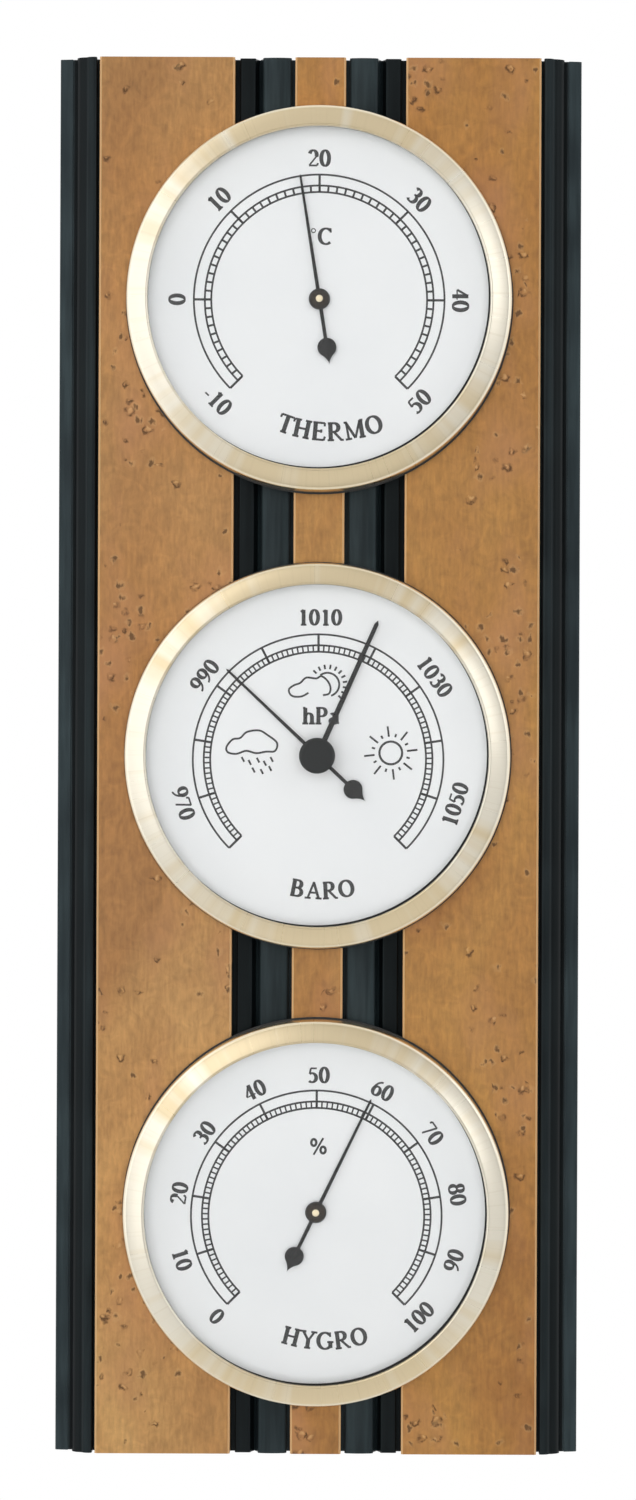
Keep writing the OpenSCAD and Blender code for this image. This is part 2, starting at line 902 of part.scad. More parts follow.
pinion_root = pinion_r - sector_tip - root_gap;
pinion_h = -4.9;
pinion_len = 2.2;
module pinion()
    at_height(pinion_h)
        linear_extrude(pinion_len) {
            circle(pinion_root);
            for (i = [0:pinion_teeth - 1])
                rotate(180 / pinion_teeth + 360 * i / pinion_teeth)
                    tooth(pinion_r, pinion_root, pinion_r + pinion_tip);
        }

sector_root = sector_r - pinion_tip - root_gap;
sector_rim = 2.8;
sector_left = -10.5;
sector_right = 19.5;
sector_step = 360 / sector_teeth;
first_tooth = -3;
last_tooth = 6;
spoke_w = 2;
spoke_sink = 0.5;
sector_hub_r = 2.6;
pin_boss_r = 1.3;
wedge_reach = 1.2;
sector_collar_r = 1;
end_play = 0.1;
pin_stand = 0.2;

// A wedge from the sector's pivot, wide enough to cut its rim
module sector_wedge()
    polygon(concat(
        [[0, 0]],
        [for (a = [sector_left, 0, sector_right]) wedge_reach * sector_r * [sin(a), cos(a)]]
    ));

module sector_plate() {
    intersection() {
        difference() {
            circle(sector_root);
            circle(sector_root - sector_rim);
        }
        sector_wedge();
    }
    for (i = [first_tooth:last_tooth])
        clockwise(i * sector_step)
            tooth(sector_r, sector_root, sector_r + sector_tip);
    for (a = [sector_left, sector_right])
        clockwise(a)
            translate([a < 0 ? 0 : -spoke_w, 0])
                square([spoke_w, sector_root - spoke_sink]);
    circle(sector_hub_r);
    translate([0, -pin_boss_r])
        square([tail_pin_dist, 2 * pin_boss_r]);
    translate([tail_pin_dist, 0])
        circle(pin_boss_r);
}

module sector()
    color("goldenrod")
        translate([0, sector_y, 0]) {
            at_height(sector_h)
                linear_extrude(plate_t)
                    sector_plate();
            disc(sector_collar_r, lower_face + end_play, upper_h - end_play);
            disc(sector_pivot_r, lower_h, upper_face);
            translate([tail_pin_dist, 0, 0])
                disc(tail_pin_r, sector_h, link_h + link_t + pin_stand);
        }

hair_h = -0.5;
hair_w = 0.8;
hair_t = 0.25;
hair_turns = 5;
hair_collet_r = 1.5;
hair_collet_lip = 0.1;
hair_overlap = 0.1;
baro_arbor_stand = 0.3;
module barometer_spindle()
    color("silver") {
        disc(baro_pivot_r, lower_h, lower_face + end_play);
        disc(baro_arbor_r, lower_face + end_play, pointer_h + pointer_t + baro_arbor_stand);
        pinion();
        disc(hair_collet_r, hair_h - hair_collet_lip, hair_h + hair_w + hair_collet_lip);
    }

module hairspring()
    color("steelblue")
        at_height(hair_h)
            linear_extrude(hair_w)
                polygon(spiral_strip(hair_collet_r + coil_gap + hair_t / 2,
                    hair_out_r - hair_t / 2 + hair_overlap, hair_turns, hair_t));

adjust_head_r = 2.8;
adjust_back = case_back + 0.1;
adjust_head_t = 1;
adjust_stand = 1.2;
adjust_slot = [2, 0.3];
adjust_slot_d = 0.5;
module adjusting_screw()
    color("silver")
        translate([0, adjust_y, 0])
            difference() {
                union() {
                    disc(adjust_head_r, adjust_back, adjust_back + adjust_head_t);
                    disc(adjust_r, adjust_back, base_face + adjust_stand);
                }
                block(-adjust_slot[0], adjust_slot[0], -adjust_slot[1], adjust_slot[1],
                    case_back - cut, adjust_back + adjust_slot_d);
            }

module movement_screws()
    color("silver") {
        at_places(frame_points)
            pan_screw(pillar_hole_r, frame_head_r, foot_head_h, lower_h - frame_thread, upper_face);
        at_base_screws()
            pan_screw(foot_screw_r, foot_head_r, foot_head_h, case_back, base_face);
    }

// The marker hand, turned by hand with the knob in front of the lens

bush_r = 2.6;
bush_flange_r = 3.6;
bush_back_t = 0.6;
bush_front_t = 0.7;
knob_shaft_r = 1.5;
marker_h = 5.2;
marker_t = 0.4;
marker_root_w = 1.5;
marker_tip_w = 1.1;
marker_eye_r = 2.4;
marker_collar = 0.2;
knob_r = 4.7;
knob_gap = 0.2;
knob_len = 4;
knob_h0 = lens_face + bush_front_t + knob_gap;
knob_h1 = knob_h0 + knob_len;
knob_bevel = 0.7;

module drilled_lens()
    color("lightcyan", 0.3)
        ring(dial_r, bush_r, lens_h, lens_face);

module set_bush()
    color("goldenrod")
        difference() {
            union() {
                disc(bush_flange_r, lens_h - bush_back_t, lens_h);
                disc(bush_r, lens_h, lens_face);
                disc(bush_flange_r, lens_face, lens_face + bush_front_t);
            }
            disc(knob_shaft_r + fit_gap, lens_h - cut, lens_face + cut);
        }

module set_hand()
    color("black")
        clockwise(marker_angle) {
            at_height(marker_h)
                difference() {
                    linear_extrude(marker_t)
                        tapered_hand(marker_root_w, marker_tip_w, marker_len, 1, marker_root_w);
                    disc(knob_shaft_r, -cut, marker_t + cut);
                }
            ring(marker_eye_r, knob_shaft_r, marker_h - marker_collar, marker_h + marker_t + marker_collar);
        }

module set_knob()
    color("black")
        clockwise(marker_angle) {
            disc(knob_shaft_r, marker_h - marker_collar, knob_h0);
            disc(knob_r, knob_h0, knob_h1 - knob_bevel);
            at_height(knob_h1 - knob_bevel)
                cylinder(r1 = knob_r, r2 = knob_r - knob_bevel, h = knob_bevel);
        }

THERMO = 0;
BARO = 1;
HYGRO = 2;

// The thermometer's sub-parts, the top dial

module thermometer_housing() at_dial(THERMO) coil_housing();

module thermometer_grip_band() at_dial(THERMO) grip_band();

module thermometer_dial() at_dial(THERMO) dial_plate();

module thermometer_spacer() at_dial(THERMO) spacer_ring();

module thermometer_lens() at_dial(THERMO) lens_disc();

module thermometer_bezel() at_dial(THERMO) bezel_ring();

module thermometer_bracket() at_dial(THERMO) bracket();

module thermometer_bracket_screws() at_dial(THERMO) bracket_screws();

module thermometer_adjuster() at_dial(THERMO) adjuster();

module thermometer_coil() at_dial(THERMO) sensing_coil("lightsteelblue");

module thermometer_arbor() at_dial(THERMO) coil_arbor();

module thermometer_pointer() at_dial(THERMO) pointer(temperature_angle, arbor_r);

module thermometer_hub_cap() at_dial(THERMO) hub_cap();

// The barometer's sub-parts, the middle dial

module barometer_housing() at_dial(BARO) barometer_case();

module barometer_grip_band() at_dial(BARO) grip_band();

module barometer_dial() at_dial(BARO) dial_plate();

module barometer_spacer() at_dial(BARO) spacer_ring();

module barometer_lens() at_dial(BARO) drilled_lens();

module barometer_bezel() at_dial(BARO) bezel_ring();

module barometer_base_plate() at_dial(BARO) base_plate();

module barometer_capsule_lower() at_dial(BARO) capsule_lower();

module barometer_capsule_upper() at_dial(BARO) capsule_upper();

module barometer_capsule_post() at_dial(BARO) capsule_post();

module barometer_pillars() at_dial(BARO) pillars();

module barometer_lower_plate() at_dial(BARO) lower_plate();

module barometer_top_plate() at_dial(BARO) top_plate();

module barometer_rocking_shaft() at_dial(BARO) rocking_shaft();

module barometer_link() at_dial(BARO) link();

module barometer_sector() at_dial(BARO) sector();

module barometer_arbor() at_dial(BARO) barometer_spindle();

module barometer_hairspring() at_dial(BARO) hairspring();

module barometer_pointer() at_dial(BARO) pointer(pressure_angle, baro_arbor_r);

module barometer_adjusting_screw() at_dial(BARO) adjusting_screw();

module barometer_set_bush() at_dial(BARO) set_bush();

module barometer_set_hand() at_dial(BARO) set_hand();

module barometer_set_knob() at_dial(BARO) set_knob();

module barometer_movement_screws() at_dial(BARO) movement_screws();

// The hygrometer's sub-parts, the bottom dial

module hygrometer_housing() at_dial(HYGRO) coil_housing();

module hygrometer_grip_band() at_dial(HYGRO) grip_band();

module hygrometer_dial() at_dial(HYGRO) dial_plate();

module hygrometer_spacer() at_dial(HYGRO) spacer_ring();

module hygrometer_lens() at_dial(HYGRO) lens_disc();

module hygrometer_bezel() at_dial(HYGRO) bezel_ring();

module hygrometer_bracket() at_dial(HYGRO) bracket();

module hygrometer_bracket_screws() at_dial(HYGRO) bracket_screws();

module hygrometer_adjuster() at_dial(HYGRO) adjuster();

module hygrometer_coil() at_dial(HYGRO) sensing_coil("burlywood");

module hygrometer_arbor() at_dial(HYGRO) coil_arbor();

module hygrometer_pointer() at_dial(HYGRO) pointer(humidity_angle, arbor_r);

module hygrometer_hub_cap() at_dial(HYGRO) hub_cap();

core_board();
left_burl_panel();
centre_burl_strip();
right_burl_panel();
left_edge_moulding();
right_edge_moulding();
left_inner_moulding();
right_inner_moulding();
hanger_plate();
hanger_screws();
thermometer_housing();
thermometer_grip_band();
thermometer_dial();
thermometer_spacer();
thermometer_lens();
thermometer_bezel();
thermometer_bracket();
thermometer_bracket_screws();
thermometer_adjuster();
thermometer_coil();
thermometer_arbor();
thermometer_pointer();
thermometer_hub_cap();
barometer_housing();
barometer_grip_band();
barometer_dial();
barometer_spacer();
barometer_lens();
barometer_bezel();
barometer_base_plate();
barometer_capsule_lower();
barometer_capsule_upper();
barometer_capsule_post();
barometer_pillars();
barometer_lower_plate();
barometer_top_plate();
barometer_rocking_shaft();
barometer_link();
barometer_sector();
barometer_arbor();
barometer_hairspring();
barometer_pointer();
barometer_adjusting_screw();
barometer_set_bush();
barometer_set_hand();
barometer_set_knob();
barometer_movement_screws();
hygrometer_housing();
hygrometer_grip_band();
hygrometer_dial();
hygrometer_spacer();
hygrometer_lens();
hygrometer_bezel();
hygrometer_bracket();
hygrometer_bracket_screws();
hygrometer_adjuster();
hygrometer_coil();
hygrometer_arbor();
hygrometer_pointer();
hygrometer_hub_cap();
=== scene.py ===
"""A wall-hung analogue weather station: a burl veneered board with black mouldings that
carries a thermometer, a barometer and a hygrometer, one above another.

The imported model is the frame. This script gives its pieces their finishes, makes the
mouldings, bezels and caps again with finer surfaces, and prints the dials."""

import json
import math
from functools import partial

import bmesh
import bpy
from mathutils import Matrix, Vector


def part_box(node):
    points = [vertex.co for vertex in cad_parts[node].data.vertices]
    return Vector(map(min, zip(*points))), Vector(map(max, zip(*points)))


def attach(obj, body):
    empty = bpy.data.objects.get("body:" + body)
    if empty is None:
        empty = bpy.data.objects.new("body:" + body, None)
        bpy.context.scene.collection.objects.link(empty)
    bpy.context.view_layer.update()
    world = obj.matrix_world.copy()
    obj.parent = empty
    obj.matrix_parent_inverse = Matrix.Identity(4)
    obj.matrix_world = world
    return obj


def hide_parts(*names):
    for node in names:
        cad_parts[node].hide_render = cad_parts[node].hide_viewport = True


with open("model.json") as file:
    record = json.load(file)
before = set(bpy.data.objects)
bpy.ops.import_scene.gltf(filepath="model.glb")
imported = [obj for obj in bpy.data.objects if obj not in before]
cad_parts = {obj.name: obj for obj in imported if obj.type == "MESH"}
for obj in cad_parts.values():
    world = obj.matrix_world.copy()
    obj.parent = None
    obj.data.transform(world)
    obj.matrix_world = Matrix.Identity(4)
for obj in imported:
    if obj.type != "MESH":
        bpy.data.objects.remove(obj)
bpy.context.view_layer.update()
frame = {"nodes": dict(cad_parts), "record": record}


# The board's core is a slab of fibreboard with three sawn holes and a pocket routed for
# the hanger. Its back stays raw, and its sawn ends are stained black like the mouldings.
MM = 0.001
PER_MM = 1000
END_STAIN = "#16181A"


def linear(hex_colour):
    """An sRGB hex colour as the linear colour that a shader takes."""
    channels = [int(hex_colour[i:i + 2], 16) / 255 for i in (1, 3, 5)]
    return (*[c / 12.92 if c <= 0.04045 else ((c + 0.055) / 1.055) ** 2.4 for c in channels], 1)


def feed(node, inputs):
    """Fills a node's inputs, by number or name. A socket is linked in, a node by its first
    output in use, and anything else is set as a value."""
    for key, source in inputs.items():
        named = [s for s in node.inputs if s.identifier == key]
        socket = named[0] if named else node.inputs[key]
        if isinstance(source, bpy.types.Node):
            source = next(output for output in source.outputs if output.enabled)
        if isinstance(source, bpy.types.NodeSocket):
            node.id_data.links.new(source, socket)
        else:
            socket.default_value = source


def add_node(tree, kind, *inputs, **settings):
    """Adds a node with its settings, values and links: inputs in order, or by name in a dict.
    A short kind is one of the shader's. A MapRange takes its value, the range from and the
    range to."""
    node = tree.nodes.new(kind if "Node" in kind else f"ShaderNode{kind}")
    for name, value in settings.items():
        setattr(node, name, value)
    for number, source in enumerate(inputs):
        feed(node, source if isinstance(source, dict) else {number: source})
    return node


def new_finish(name, values):
    """A material with one Principled shader, which keeps the given values on its own sockets:
    the material, the shader, and the function that adds nodes to it."""
    material = bpy.data.materials.new(name)
    material.use_nodes = True
    shader = material.node_tree.nodes["Principled BSDF"]
    feed(shader, values)
    return material, shader, partial(add_node, material.node_tree)


def place_in_mm(add, stretch=(1, 1, 1)):
    """The place on the piece, in millimetres, so that a pattern's scale is one over its size."""
    place = add("TexCoord").outputs["Object"]
    return add("Mapping", {"Vector": place, "Scale": [PER_MM * s for s in stretch]})


def facing_and_ends(add):
    """The way that the surface faces, split in three, and 1 where it faces straight up or down."""
    facing = add("SeparateXYZ", add("NewGeometry").outputs["Normal"])
    upright = add("Math", facing.outputs["Z"], operation="ABSOLUTE")
    return facing, add("Math", upright, 0.9, operation="GREATER_THAN")


def layered(add, base, *layers):
    """A base colour with layers over it in turn, each as far as its cover says. A colour covers
    what is below it, and a pattern multiplies it."""
    base = linear(base)
    for cover, layer in layers:
        plain = isinstance(layer, str)
        over = linear(layer) if plain else layer
        base = add("Mix", {"Factor_Float": cover, "A_Color": base, "B_Color": over},
                   data_type="RGBA", blend_type="MIX" if plain else "MULTIPLY")
    return base


def dress(material, *nodes):
    """Gives the named pieces of the frame their finish."""
    for name in nodes:
        for slot in frame["nodes"][name].material_slots:
            slot.material = material


def fibreboard():
    """MDF, pressed from fine wood fibre and sawn: pale brown, dull and finely speckled."""
    raw_brown, fibre_brown = "#B0906A", "#8F7050"
    fibre = 0.7
    material, shader, add = new_finish("sawn_fibreboard", {"Roughness": 0.85})
    speckle = add("TexNoise", {"Vector": place_in_mm(add), "Scale": 1 / fibre, "Detail": 3})
    base = layered(add, fibre_brown, (speckle, raw_brown), (facing_and_ends(add)[1], END_STAIN))
    bump = add("Bump", {"Height": speckle, "Strength": 0.4, "Distance": 0.05 * MM})
    feed(shader, {"Base Color": base, "Normal": bump})
    return material


dress(fibreboard(), "core_board")


# The veneered panels are thin boards faced with burl veneer and glued on the core, one at
# each side and four short ones down the middle. Their front edges have a small bevel.
def burl_veneer(name, warm, deep, ember):
    """Elm burl under satin lacquer: warm brown and cloudy, with knots of small dark eyes.
    On the bevels a paler colour is painted: partly the paler cut edge of the veneer and partly a painted
    highlight where the light catches them."""
    pale_edge_and_highlight, blush, eye_brown, eye_rim = "#E3B988", "#B47C50", "#5A3812", "#D8AC6E"
    cloud, curl, fibre = 40, 5, 0.8
    eye, eye_cluster, pip = 4.6, 19, 3.6
    material, shader, add = new_finish(
        name, {"Roughness": 0.4, "Specular IOR Level": 0.18, "Coat Weight": 0.06, "Coat Roughness": 0.15})
    place = place_in_mm(add)
    tall = place_in_mm(add, (1, 1, 0.45))
    clouds = add("TexNoise", {"Vector": tall, "Scale": 1 / cloud, "Detail": 4, "Distortion": 0.8})
    tone = add("MapRange", clouds, 0.32, 0.68)
    drift = add("TexNoise", {"Vector": place, "Scale": 1 / (2.4 * cloud), "Detail": 1})
    glow = add("MapRange", drift, 0.45, 0.7, 0, 0.6)
    curls = add("TexNoise", {"Vector": place, "Scale": 1 / curl, "Detail": 3, "Roughness": 0.6,
                             "Distortion": 1.6})
    fibres = add("TexNoise", {"Vector": place_in_mm(add, (1, 1, 0.22)), "Scale": 1 / fibre, "Detail": 2})
    figure = add("Math", curls, fibres, operation="ADD")
    shade = add("MapRange", figure, 0.6, 1.4, 0.74, 1.2)
    layers = [(tone, warm), (glow, ember), (1, shade)]

    # The eyes lie in loose clusters. Each is a broken crescent that hangs open at the top,
    # pulled about by the grain, with a pale spot in its hollow.
    pull = add("TexNoise", {"Vector": place, "Scale": 2.4 / eye, "Detail": 3})
    pulled = add("VectorMath", pull.outputs["Color"], (3, 3, 3), place, operation="MULTIPLY_ADD")
    pulled = add("SeparateXYZ", pulled)
    flat = add("CombineXYZ", pulled.outputs["X"], pulled.outputs["Z"])
    cells = add("TexVoronoi", {"Vector": flat, "Scale": 1 / eye, "Randomness": 1}, voronoi_dimensions="2D")
    from_eye = add("VectorMath", flat, cells.outputs["Position"], operation="SUBTRACT")
    out_of_eye = add("VectorMath", from_eye, operation="LENGTH")
    chance = add("SeparateColor", cells.outputs["Color"])
    ring_r = add("MapRange", chance.outputs[1], 0, 1, 0.2, 1.25)
    from_ring = add("Math", out_of_eye, ring_r, operation="SUBTRACT")
    off_ring = add("Math", from_ring, operation="ABSOLUTE")
    crescent = add("MapRange", off_ring, 0.08, 0.62, 1, 0)
    open_top = add("MapRange", add("SeparateXYZ", from_eye).outputs["Y"], 0, 0.9, 1, 0)
    breaks = add("MapRange", curls, 0.38, 0.56)
    clusters = add("TexNoise", {"Vector": tall, "Scale": 1 / eye_cluster, "Detail": 2})
    in_cluster = add("MapRange", clusters, 0.52, 0.6, 0.05, 0.6)
    eye_here = add("Math", chance.outputs[0], in_cluster, operation="LESS_THAN")
    eyes = crescent
    for share in (open_top, breaks, eye_here, 0.95):
        eyes = add("Math", eyes, share, operation="MULTIPLY")
    hollow = add("MapRange", from_ring, -1.1, -0.4, 0.5, 0)
    hollows = add("Math", hollow, eye_here, operation="MULTIPLY")
    flush = add("MapRange", clusters, 0.5, 0.7, 0, 0.5)
    layers += [(flush, blush), (hollows, eye_rim), (eyes, eye_brown)]

    # Pips are small, round and darkest. Most lie among the eyes, and each has a pale fringe.
    pips = add("TexVoronoi", {"Vector": flat, "Scale": 1 / pip, "Randomness": 1}, voronoi_dimensions="2D")
    odds = add("SeparateColor", pips.outputs["Color"])
    pip_r = add("MapRange", odds.outputs[2], 0, 1, 0.05, 0.16)
    round_pip = add("Math", pips, pip_r, operation="SUBTRACT")
    ragged = add("MapRange", fibres, 0.3, 0.7, -0.08, 0.12)
    out_of_pip = add("Math", round_pip, ragged, operation="ADD")
    scarcer = add("Math", in_cluster, 0.5, operation="MULTIPLY")
    pip_here = add("Math", odds.outputs[1], scarcer, operation="LESS_THAN")
    for start, end, strength, colour in ((0.06, 0.3, 0.25, eye_rim), (-0.02, 0.14, 0.85, eye_brown)):
        spot = add("MapRange", out_of_pip, start, end, strength, 0)
        layers.append((add("Math", spot, pip_here, operation="MULTIPLY"), colour))

    # A bevel faces half sideways and half forward. Its pale colour is partly the cut edge and partly a
    # painted highlight.
    facing, is_end = facing_and_ends(add)
    sideways = add("Math", facing.outputs["X"], operation="ABSOLUTE")
    bevel = add("Math", sideways, 0.6, 0.3, operation="COMPARE")
    lit = add("Math", bevel, 0.7, operation="MULTIPLY")
    base = layered(add, deep, *layers, (lit, pale_edge_and_highlight), (is_end, END_STAIN))
    bump = add("Bump", {"Height": fibres, "Strength": 0.3, "Distance": 0.03 * MM})
    feed(shader, {"Base Color": base, "Normal": bump})
    return material


# The leaves of veneer differ: the right one is the yellowest
for leaf, panel, colours in (("left", "left_burl_panel", ("#BF9154", "#A06F3A", "#AE7636")),
                             ("centre", "centre_burl_strip", ("#BA8A46", "#9C682E", "#A96E28")),
                             ("right", "right_burl_panel", ("#B5833C", "#9A6428", "#A66B25"))):
    dress(burl_veneer(f"{leaf}_leaf_of_burl", *colours), panel)


# The mouldings are lengths of planed wood, lacquered satin black. One covers each edge of
# the board to its full depth, and a broad and narrow band lies at each side of the centre.
panel_low, panel_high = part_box("right_burl_panel")
centre_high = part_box("centre_burl_strip")[1]
edge_low, edge_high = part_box("right_edge_moulding")
hole_low, hole_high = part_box("barometer_grip_band")
front_y = panel_low.y
bottom_z, top_z = edge_low.z, edge_high.z
hole_r = (hole_high.x - hole_low.x) / 2
dials = ("thermometer", "barometer", "hygrometer")
dial_z = {dial: sum(corner.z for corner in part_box(f"{dial}_dial")) / 2 for dial in dials}


def arc(cx, cy, rx, ry, start, end, steps=12):
    """Points of an elliptical arc, from one angle to another in degrees."""
    turns = [math.radians(start + (end - start) * i / steps) for i in range(steps + 1)]
    return [(cx + rx * math.cos(t), cy + ry * math.sin(t)) for t in turns]


def put_in_scene(name, data):
    """A new object in the scene, at the origin."""
    item = bpy.data.objects.new(name, data)
    bpy.context.collection.objects.link(item)
    return item


def fit(piece, body, node=None):
    """Fixes a piece on its body. It may take the place of a node."""
    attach(piece, body)
    if node:
        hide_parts(node)


def smooth(mesh, material, crease):
    """Gives a mesh its material, and smooth faces up to the crease in degrees."""
    mesh.materials.clear()
    mesh.materials.append(material)
    mesh.shade_smooth()
    mesh.set_sharp_from_angle(angle=math.radians(crease))


def new_piece(name, vertices, faces, material, body, node=None):
    """A piece with its place in its mesh, doubles merged and faces outwards."""
    mesh = bpy.data.meshes.new(name)
    mesh.from_pydata(vertices, [], faces)
    shell = bmesh.new()
    shell.from_mesh(mesh)
    bmesh.ops.remove_doubles(shell, verts=shell.verts, dist=0.001 * MM)
    bmesh.ops.recalc_face_normals(shell, faces=shell.faces)
    shell.to_mesh(mesh)
    shell.free()
    smooth(mesh, material, 35)
    fit(put_in_scene(name, mesh), body, node)


def black_lacquer():
    """Planed wood under satin black lacquer: blue-black, with a trace of the grain beneath.
    Each moulding is painted paler or darker in bands outwards from the middle: painted light and shade for
    its profile, darkest on the sunk narrow band and the slope, palest on the outer step."""
    black, worn = "#20282B", "#303B3E"
    painted_shade_levels = ((0, 0.82), (16.3, 0.18), (58, 0.4), (61.9, 0.12), (65.5, 1))
    half_width = 70
    grain, ripple = 1.4, 22
    material, shader, add = new_finish(
        "satin_black_lacquer", {"Specular IOR Level": 0.18, "Specular Tint": linear("#E2F0F4")})
    place = place_in_mm(add)
    lines = add("TexNoise", {"Vector": place_in_mm(add, (1, 1, 0.06)), "Scale": 1 / grain, "Detail": 3})
    patches = add("TexNoise", {"Vector": place, "Scale": 1 / ripple, "Detail": 2})
    mixed = add("Math", lines, patches, operation="MULTIPLY")
    tone = add("MapRange", mixed, 0.15, 0.4)
    # Painted light and shade: a brightness for each band of the profile, by distance from the middle
    out = add("Math", add("SeparateXYZ", place).outputs["X"], operation="ABSOLUTE")
    painted_band_shade = add("ValToRGB", add("Math", out, 1 / half_width, operation="MULTIPLY"))
    bands = painted_band_shade.color_ramp
    bands.interpolation = "CONSTANT"
    bands.elements.remove(bands.elements[1])
    bands.elements[0].color = (*[painted_shade_levels[0][1]] * 3, 1)
    for start, level in painted_shade_levels[1:]:
        bands.elements.new(start / half_width).color = (level, level, level, 1)
    base = layered(add, black, (tone, worn), (1, painted_band_shade))
    sheen = add("MapRange", patches, 0, 1, 0.28, 0.42)
    bump = add("Bump", {"Height": lines, "Strength": 0.25, "Distance": 0.06 * MM})
    feed(shader, {"Base Color": base, "Roughness": sheen, "Normal": bump})
    return material


def edge_section():
    """Past a deep gap come a round bead, a rounded slope down to a narrow groove, and a flat
    outer step that leans outwards. Distance outwards, and level behind the veneer face."""
    width, depth = 10.9, 18
    gap, gap_level = 0.8, -4.8
    bead_w, bead_side = 2.6, 0.7
    slope_end, groove_w, groove_d = 6.3, 1.2, 0.6
    flat, tilt, corner = -5.2, 0.4, 0.8
    slope_start = gap + bead_w
    groove_end = slope_end + groove_w
    return [
        (0, -depth), (0, gap_level), (gap, gap_level),
        *arc(gap + bead_side, -1, bead_side, 0.6, 180, 90, 8),
        *arc(gap + bead_side, -1.6, bead_w - bead_side, 1.2, 90, 25, 12),
        (slope_start, -1.35),
        *arc(slope_start, -4.2, slope_end - slope_start, 2.7, 85, 12, 16),
        (slope_end, flat - groove_d), (groove_end, flat - groove_d), (groove_end, flat),
        *arc(width - corner, flat - tilt - corner, corner, corner, 84, 0, 8),
        (width, -depth),
    ]


def inner_section():
    """A gap, a broad crowned band with rounded shoulders, a V groove and a lower, flat narrow
    band. Distance outwards, and level behind the veneer face."""
    width, panel = 16, -6
    gap, gap_level = 1, -4.8
    broad_end, broad_level = 8.6, -1.1
    shoulder_w, shoulder_d = 1.2, 0.9
    crown_half, crown_rise = 2.2, 0.25
    groove_side, groove_bottom = -3.2, -5.4
    narrow_start, narrow_end, narrow_level, corner = 10.5, 14.7, -2.2, 0.5
    return [
        (0, panel), (0, gap_level), (gap, gap_level),
        *arc(gap + shoulder_w, broad_level - shoulder_d, shoulder_w, shoulder_d, 180, 90, 10),
        *arc((gap + broad_end) / 2, broad_level, crown_half, crown_rise, 165, 15, 12),
        *arc(broad_end - shoulder_w, broad_level - shoulder_d, shoulder_w, shoulder_d, 90, 0, 10),
        (broad_end, groove_side), ((broad_end + narrow_start) / 2, groove_bottom),
        (narrow_start, groove_side),
        *arc(narrow_start + corner, narrow_level - corner, corner, corner, 180, 90, 8),
        *arc(narrow_end - corner, narrow_level - corner, corner, corner, 90, 0, 8),
        (narrow_end, gap_level), (width, gap_level), (width, panel),
    ]


def straight(z):
    """An end of a moulding that is cut straight across."""
    return lambda x: z


def hole_edge(dial, side):
    """An end along the edge of a dial's hole, above (1) or below (-1) its centre."""
    return lambda x: dial_z[dial] + side * math.sqrt(hole_r ** 2 - x ** 2)


def run_moulding(name, node, section, ends):
    """Lengths of moulding up the board: a section of x and y points, and a low and a high end
    for each length in turn."""
    vertices, faces = [], []
    count = len(section)
    for low, high in zip(ends[::2], ends[1::2]):
        start = len(vertices)
        vertices += [(x, y, end(x)) for end in (low, high) for x, y in section]
        for i in range(count):
            j = (i + 1) % count
            faces.append((start + i, start + j, start + count + j, start + count + i))
        faces += [tuple(range(first, first + count)) for first in (start, start + count)]
    new_piece(name, vertices, faces, lacquer, "case", node)


whole_height = [straight(bottom_z), straight(top_z)]
hole_edges = [hole_edge(dial, side) for dial in reversed(dials) for side in (-1, 1)]
between_holes = [whole_height[0], *hole_edges, whole_height[1]]
lacquer = black_lacquer()
for side, hand in ((-1, "left"), (1, "right")):
    outer = [(side * (panel_high.x + out * MM), front_y - level * MM) for out, level in edge_section()]
    run_moulding(f"{hand}_edge_bead", f"{hand}_edge_moulding", outer, whole_height)
    inner = [(side * (centre_high.x + out * MM), front_y - level * MM) for out, level in inner_section()]
    run_moulding(f"{hand}_inner_bands", f"{hand}_inner_moulding", inner, between_holes)


# The hanger is a zinc plated steel plate with a keyhole, let into the back of the core and
# held by two countersunk screws.
bodies = {node: body for body, nodes in frame["record"]["behaviour"]["bodies"].items() for node in nodes}


def refined(node, material, crease=40, bevel=0.0):
    """A merged and smoothed copy of a piece of the frame, which may get its edges broken."""
    mesh = frame["nodes"][node].data.copy()
    shell = bmesh.new()
    shell.from_mesh(mesh)
    bmesh.ops.remove_doubles(shell, verts=shell.verts, dist=0.002 * MM)
    bmesh.ops.dissolve_limit(shell, angle_limit=math.radians(0.5), verts=shell.verts, edges=shell.edges)
    if bevel:
        rims = [e for e in shell.edges if len(e.link_faces) == 2 and e.calc_face_angle() > math.radians(60)]
        bmesh.ops.bevel(shell, geom=rims, offset=bevel, segments=2, profile=0.6, affect="EDGES",
                        clamp_overlap=True)
    shell.to_mesh(mesh)
    shell.free()
    smooth(mesh, material, crease)
    fit(put_in_scene(f"{node}_finished", mesh), bodies[node], node)


def cut_metal(name, colour, roughness, grit, metallic=1.0):
    """A metal shaped by cutting or rolling: its colour, and fine marks a grit apart that
    vary the sheen."""
    material, shader, add = new_finish(name, {"Metallic": metallic})
    marks = add("TexNoise", {"Vector": place_in_mm(add, (1, 1, 0.3)), "Scale": 1 / grit, "Detail": 3})
    wear = add("TexNoise", {"Vector": place_in_mm(add), "Scale": 1 / (14 * grit), "Detail": 2})
    sheen = add("MapRange", marks, 0, 1, roughness - 0.08, roughness + 0.08)
    shade = add("MapRange", wear, 0, 1, 0.82, 1.12)
    base = layered(add, colour, (1, shade))
    bump = add("Bump", {"Height": marks, "Strength": 0.3, "Distance": 0.01 * MM})
    feed(shader, {"Base Color": base, "Roughness": sheen, "Normal": bump})
    return material


# Zinc plate on rolled steel: pale grey with a faint bloom
zinc = cut_metal("zinc_plated_steel", "#B9BCBD", 0.38, 0.6)
for node in ("hanger_plate", "hanger_screws"):
    refined(node, zinc)


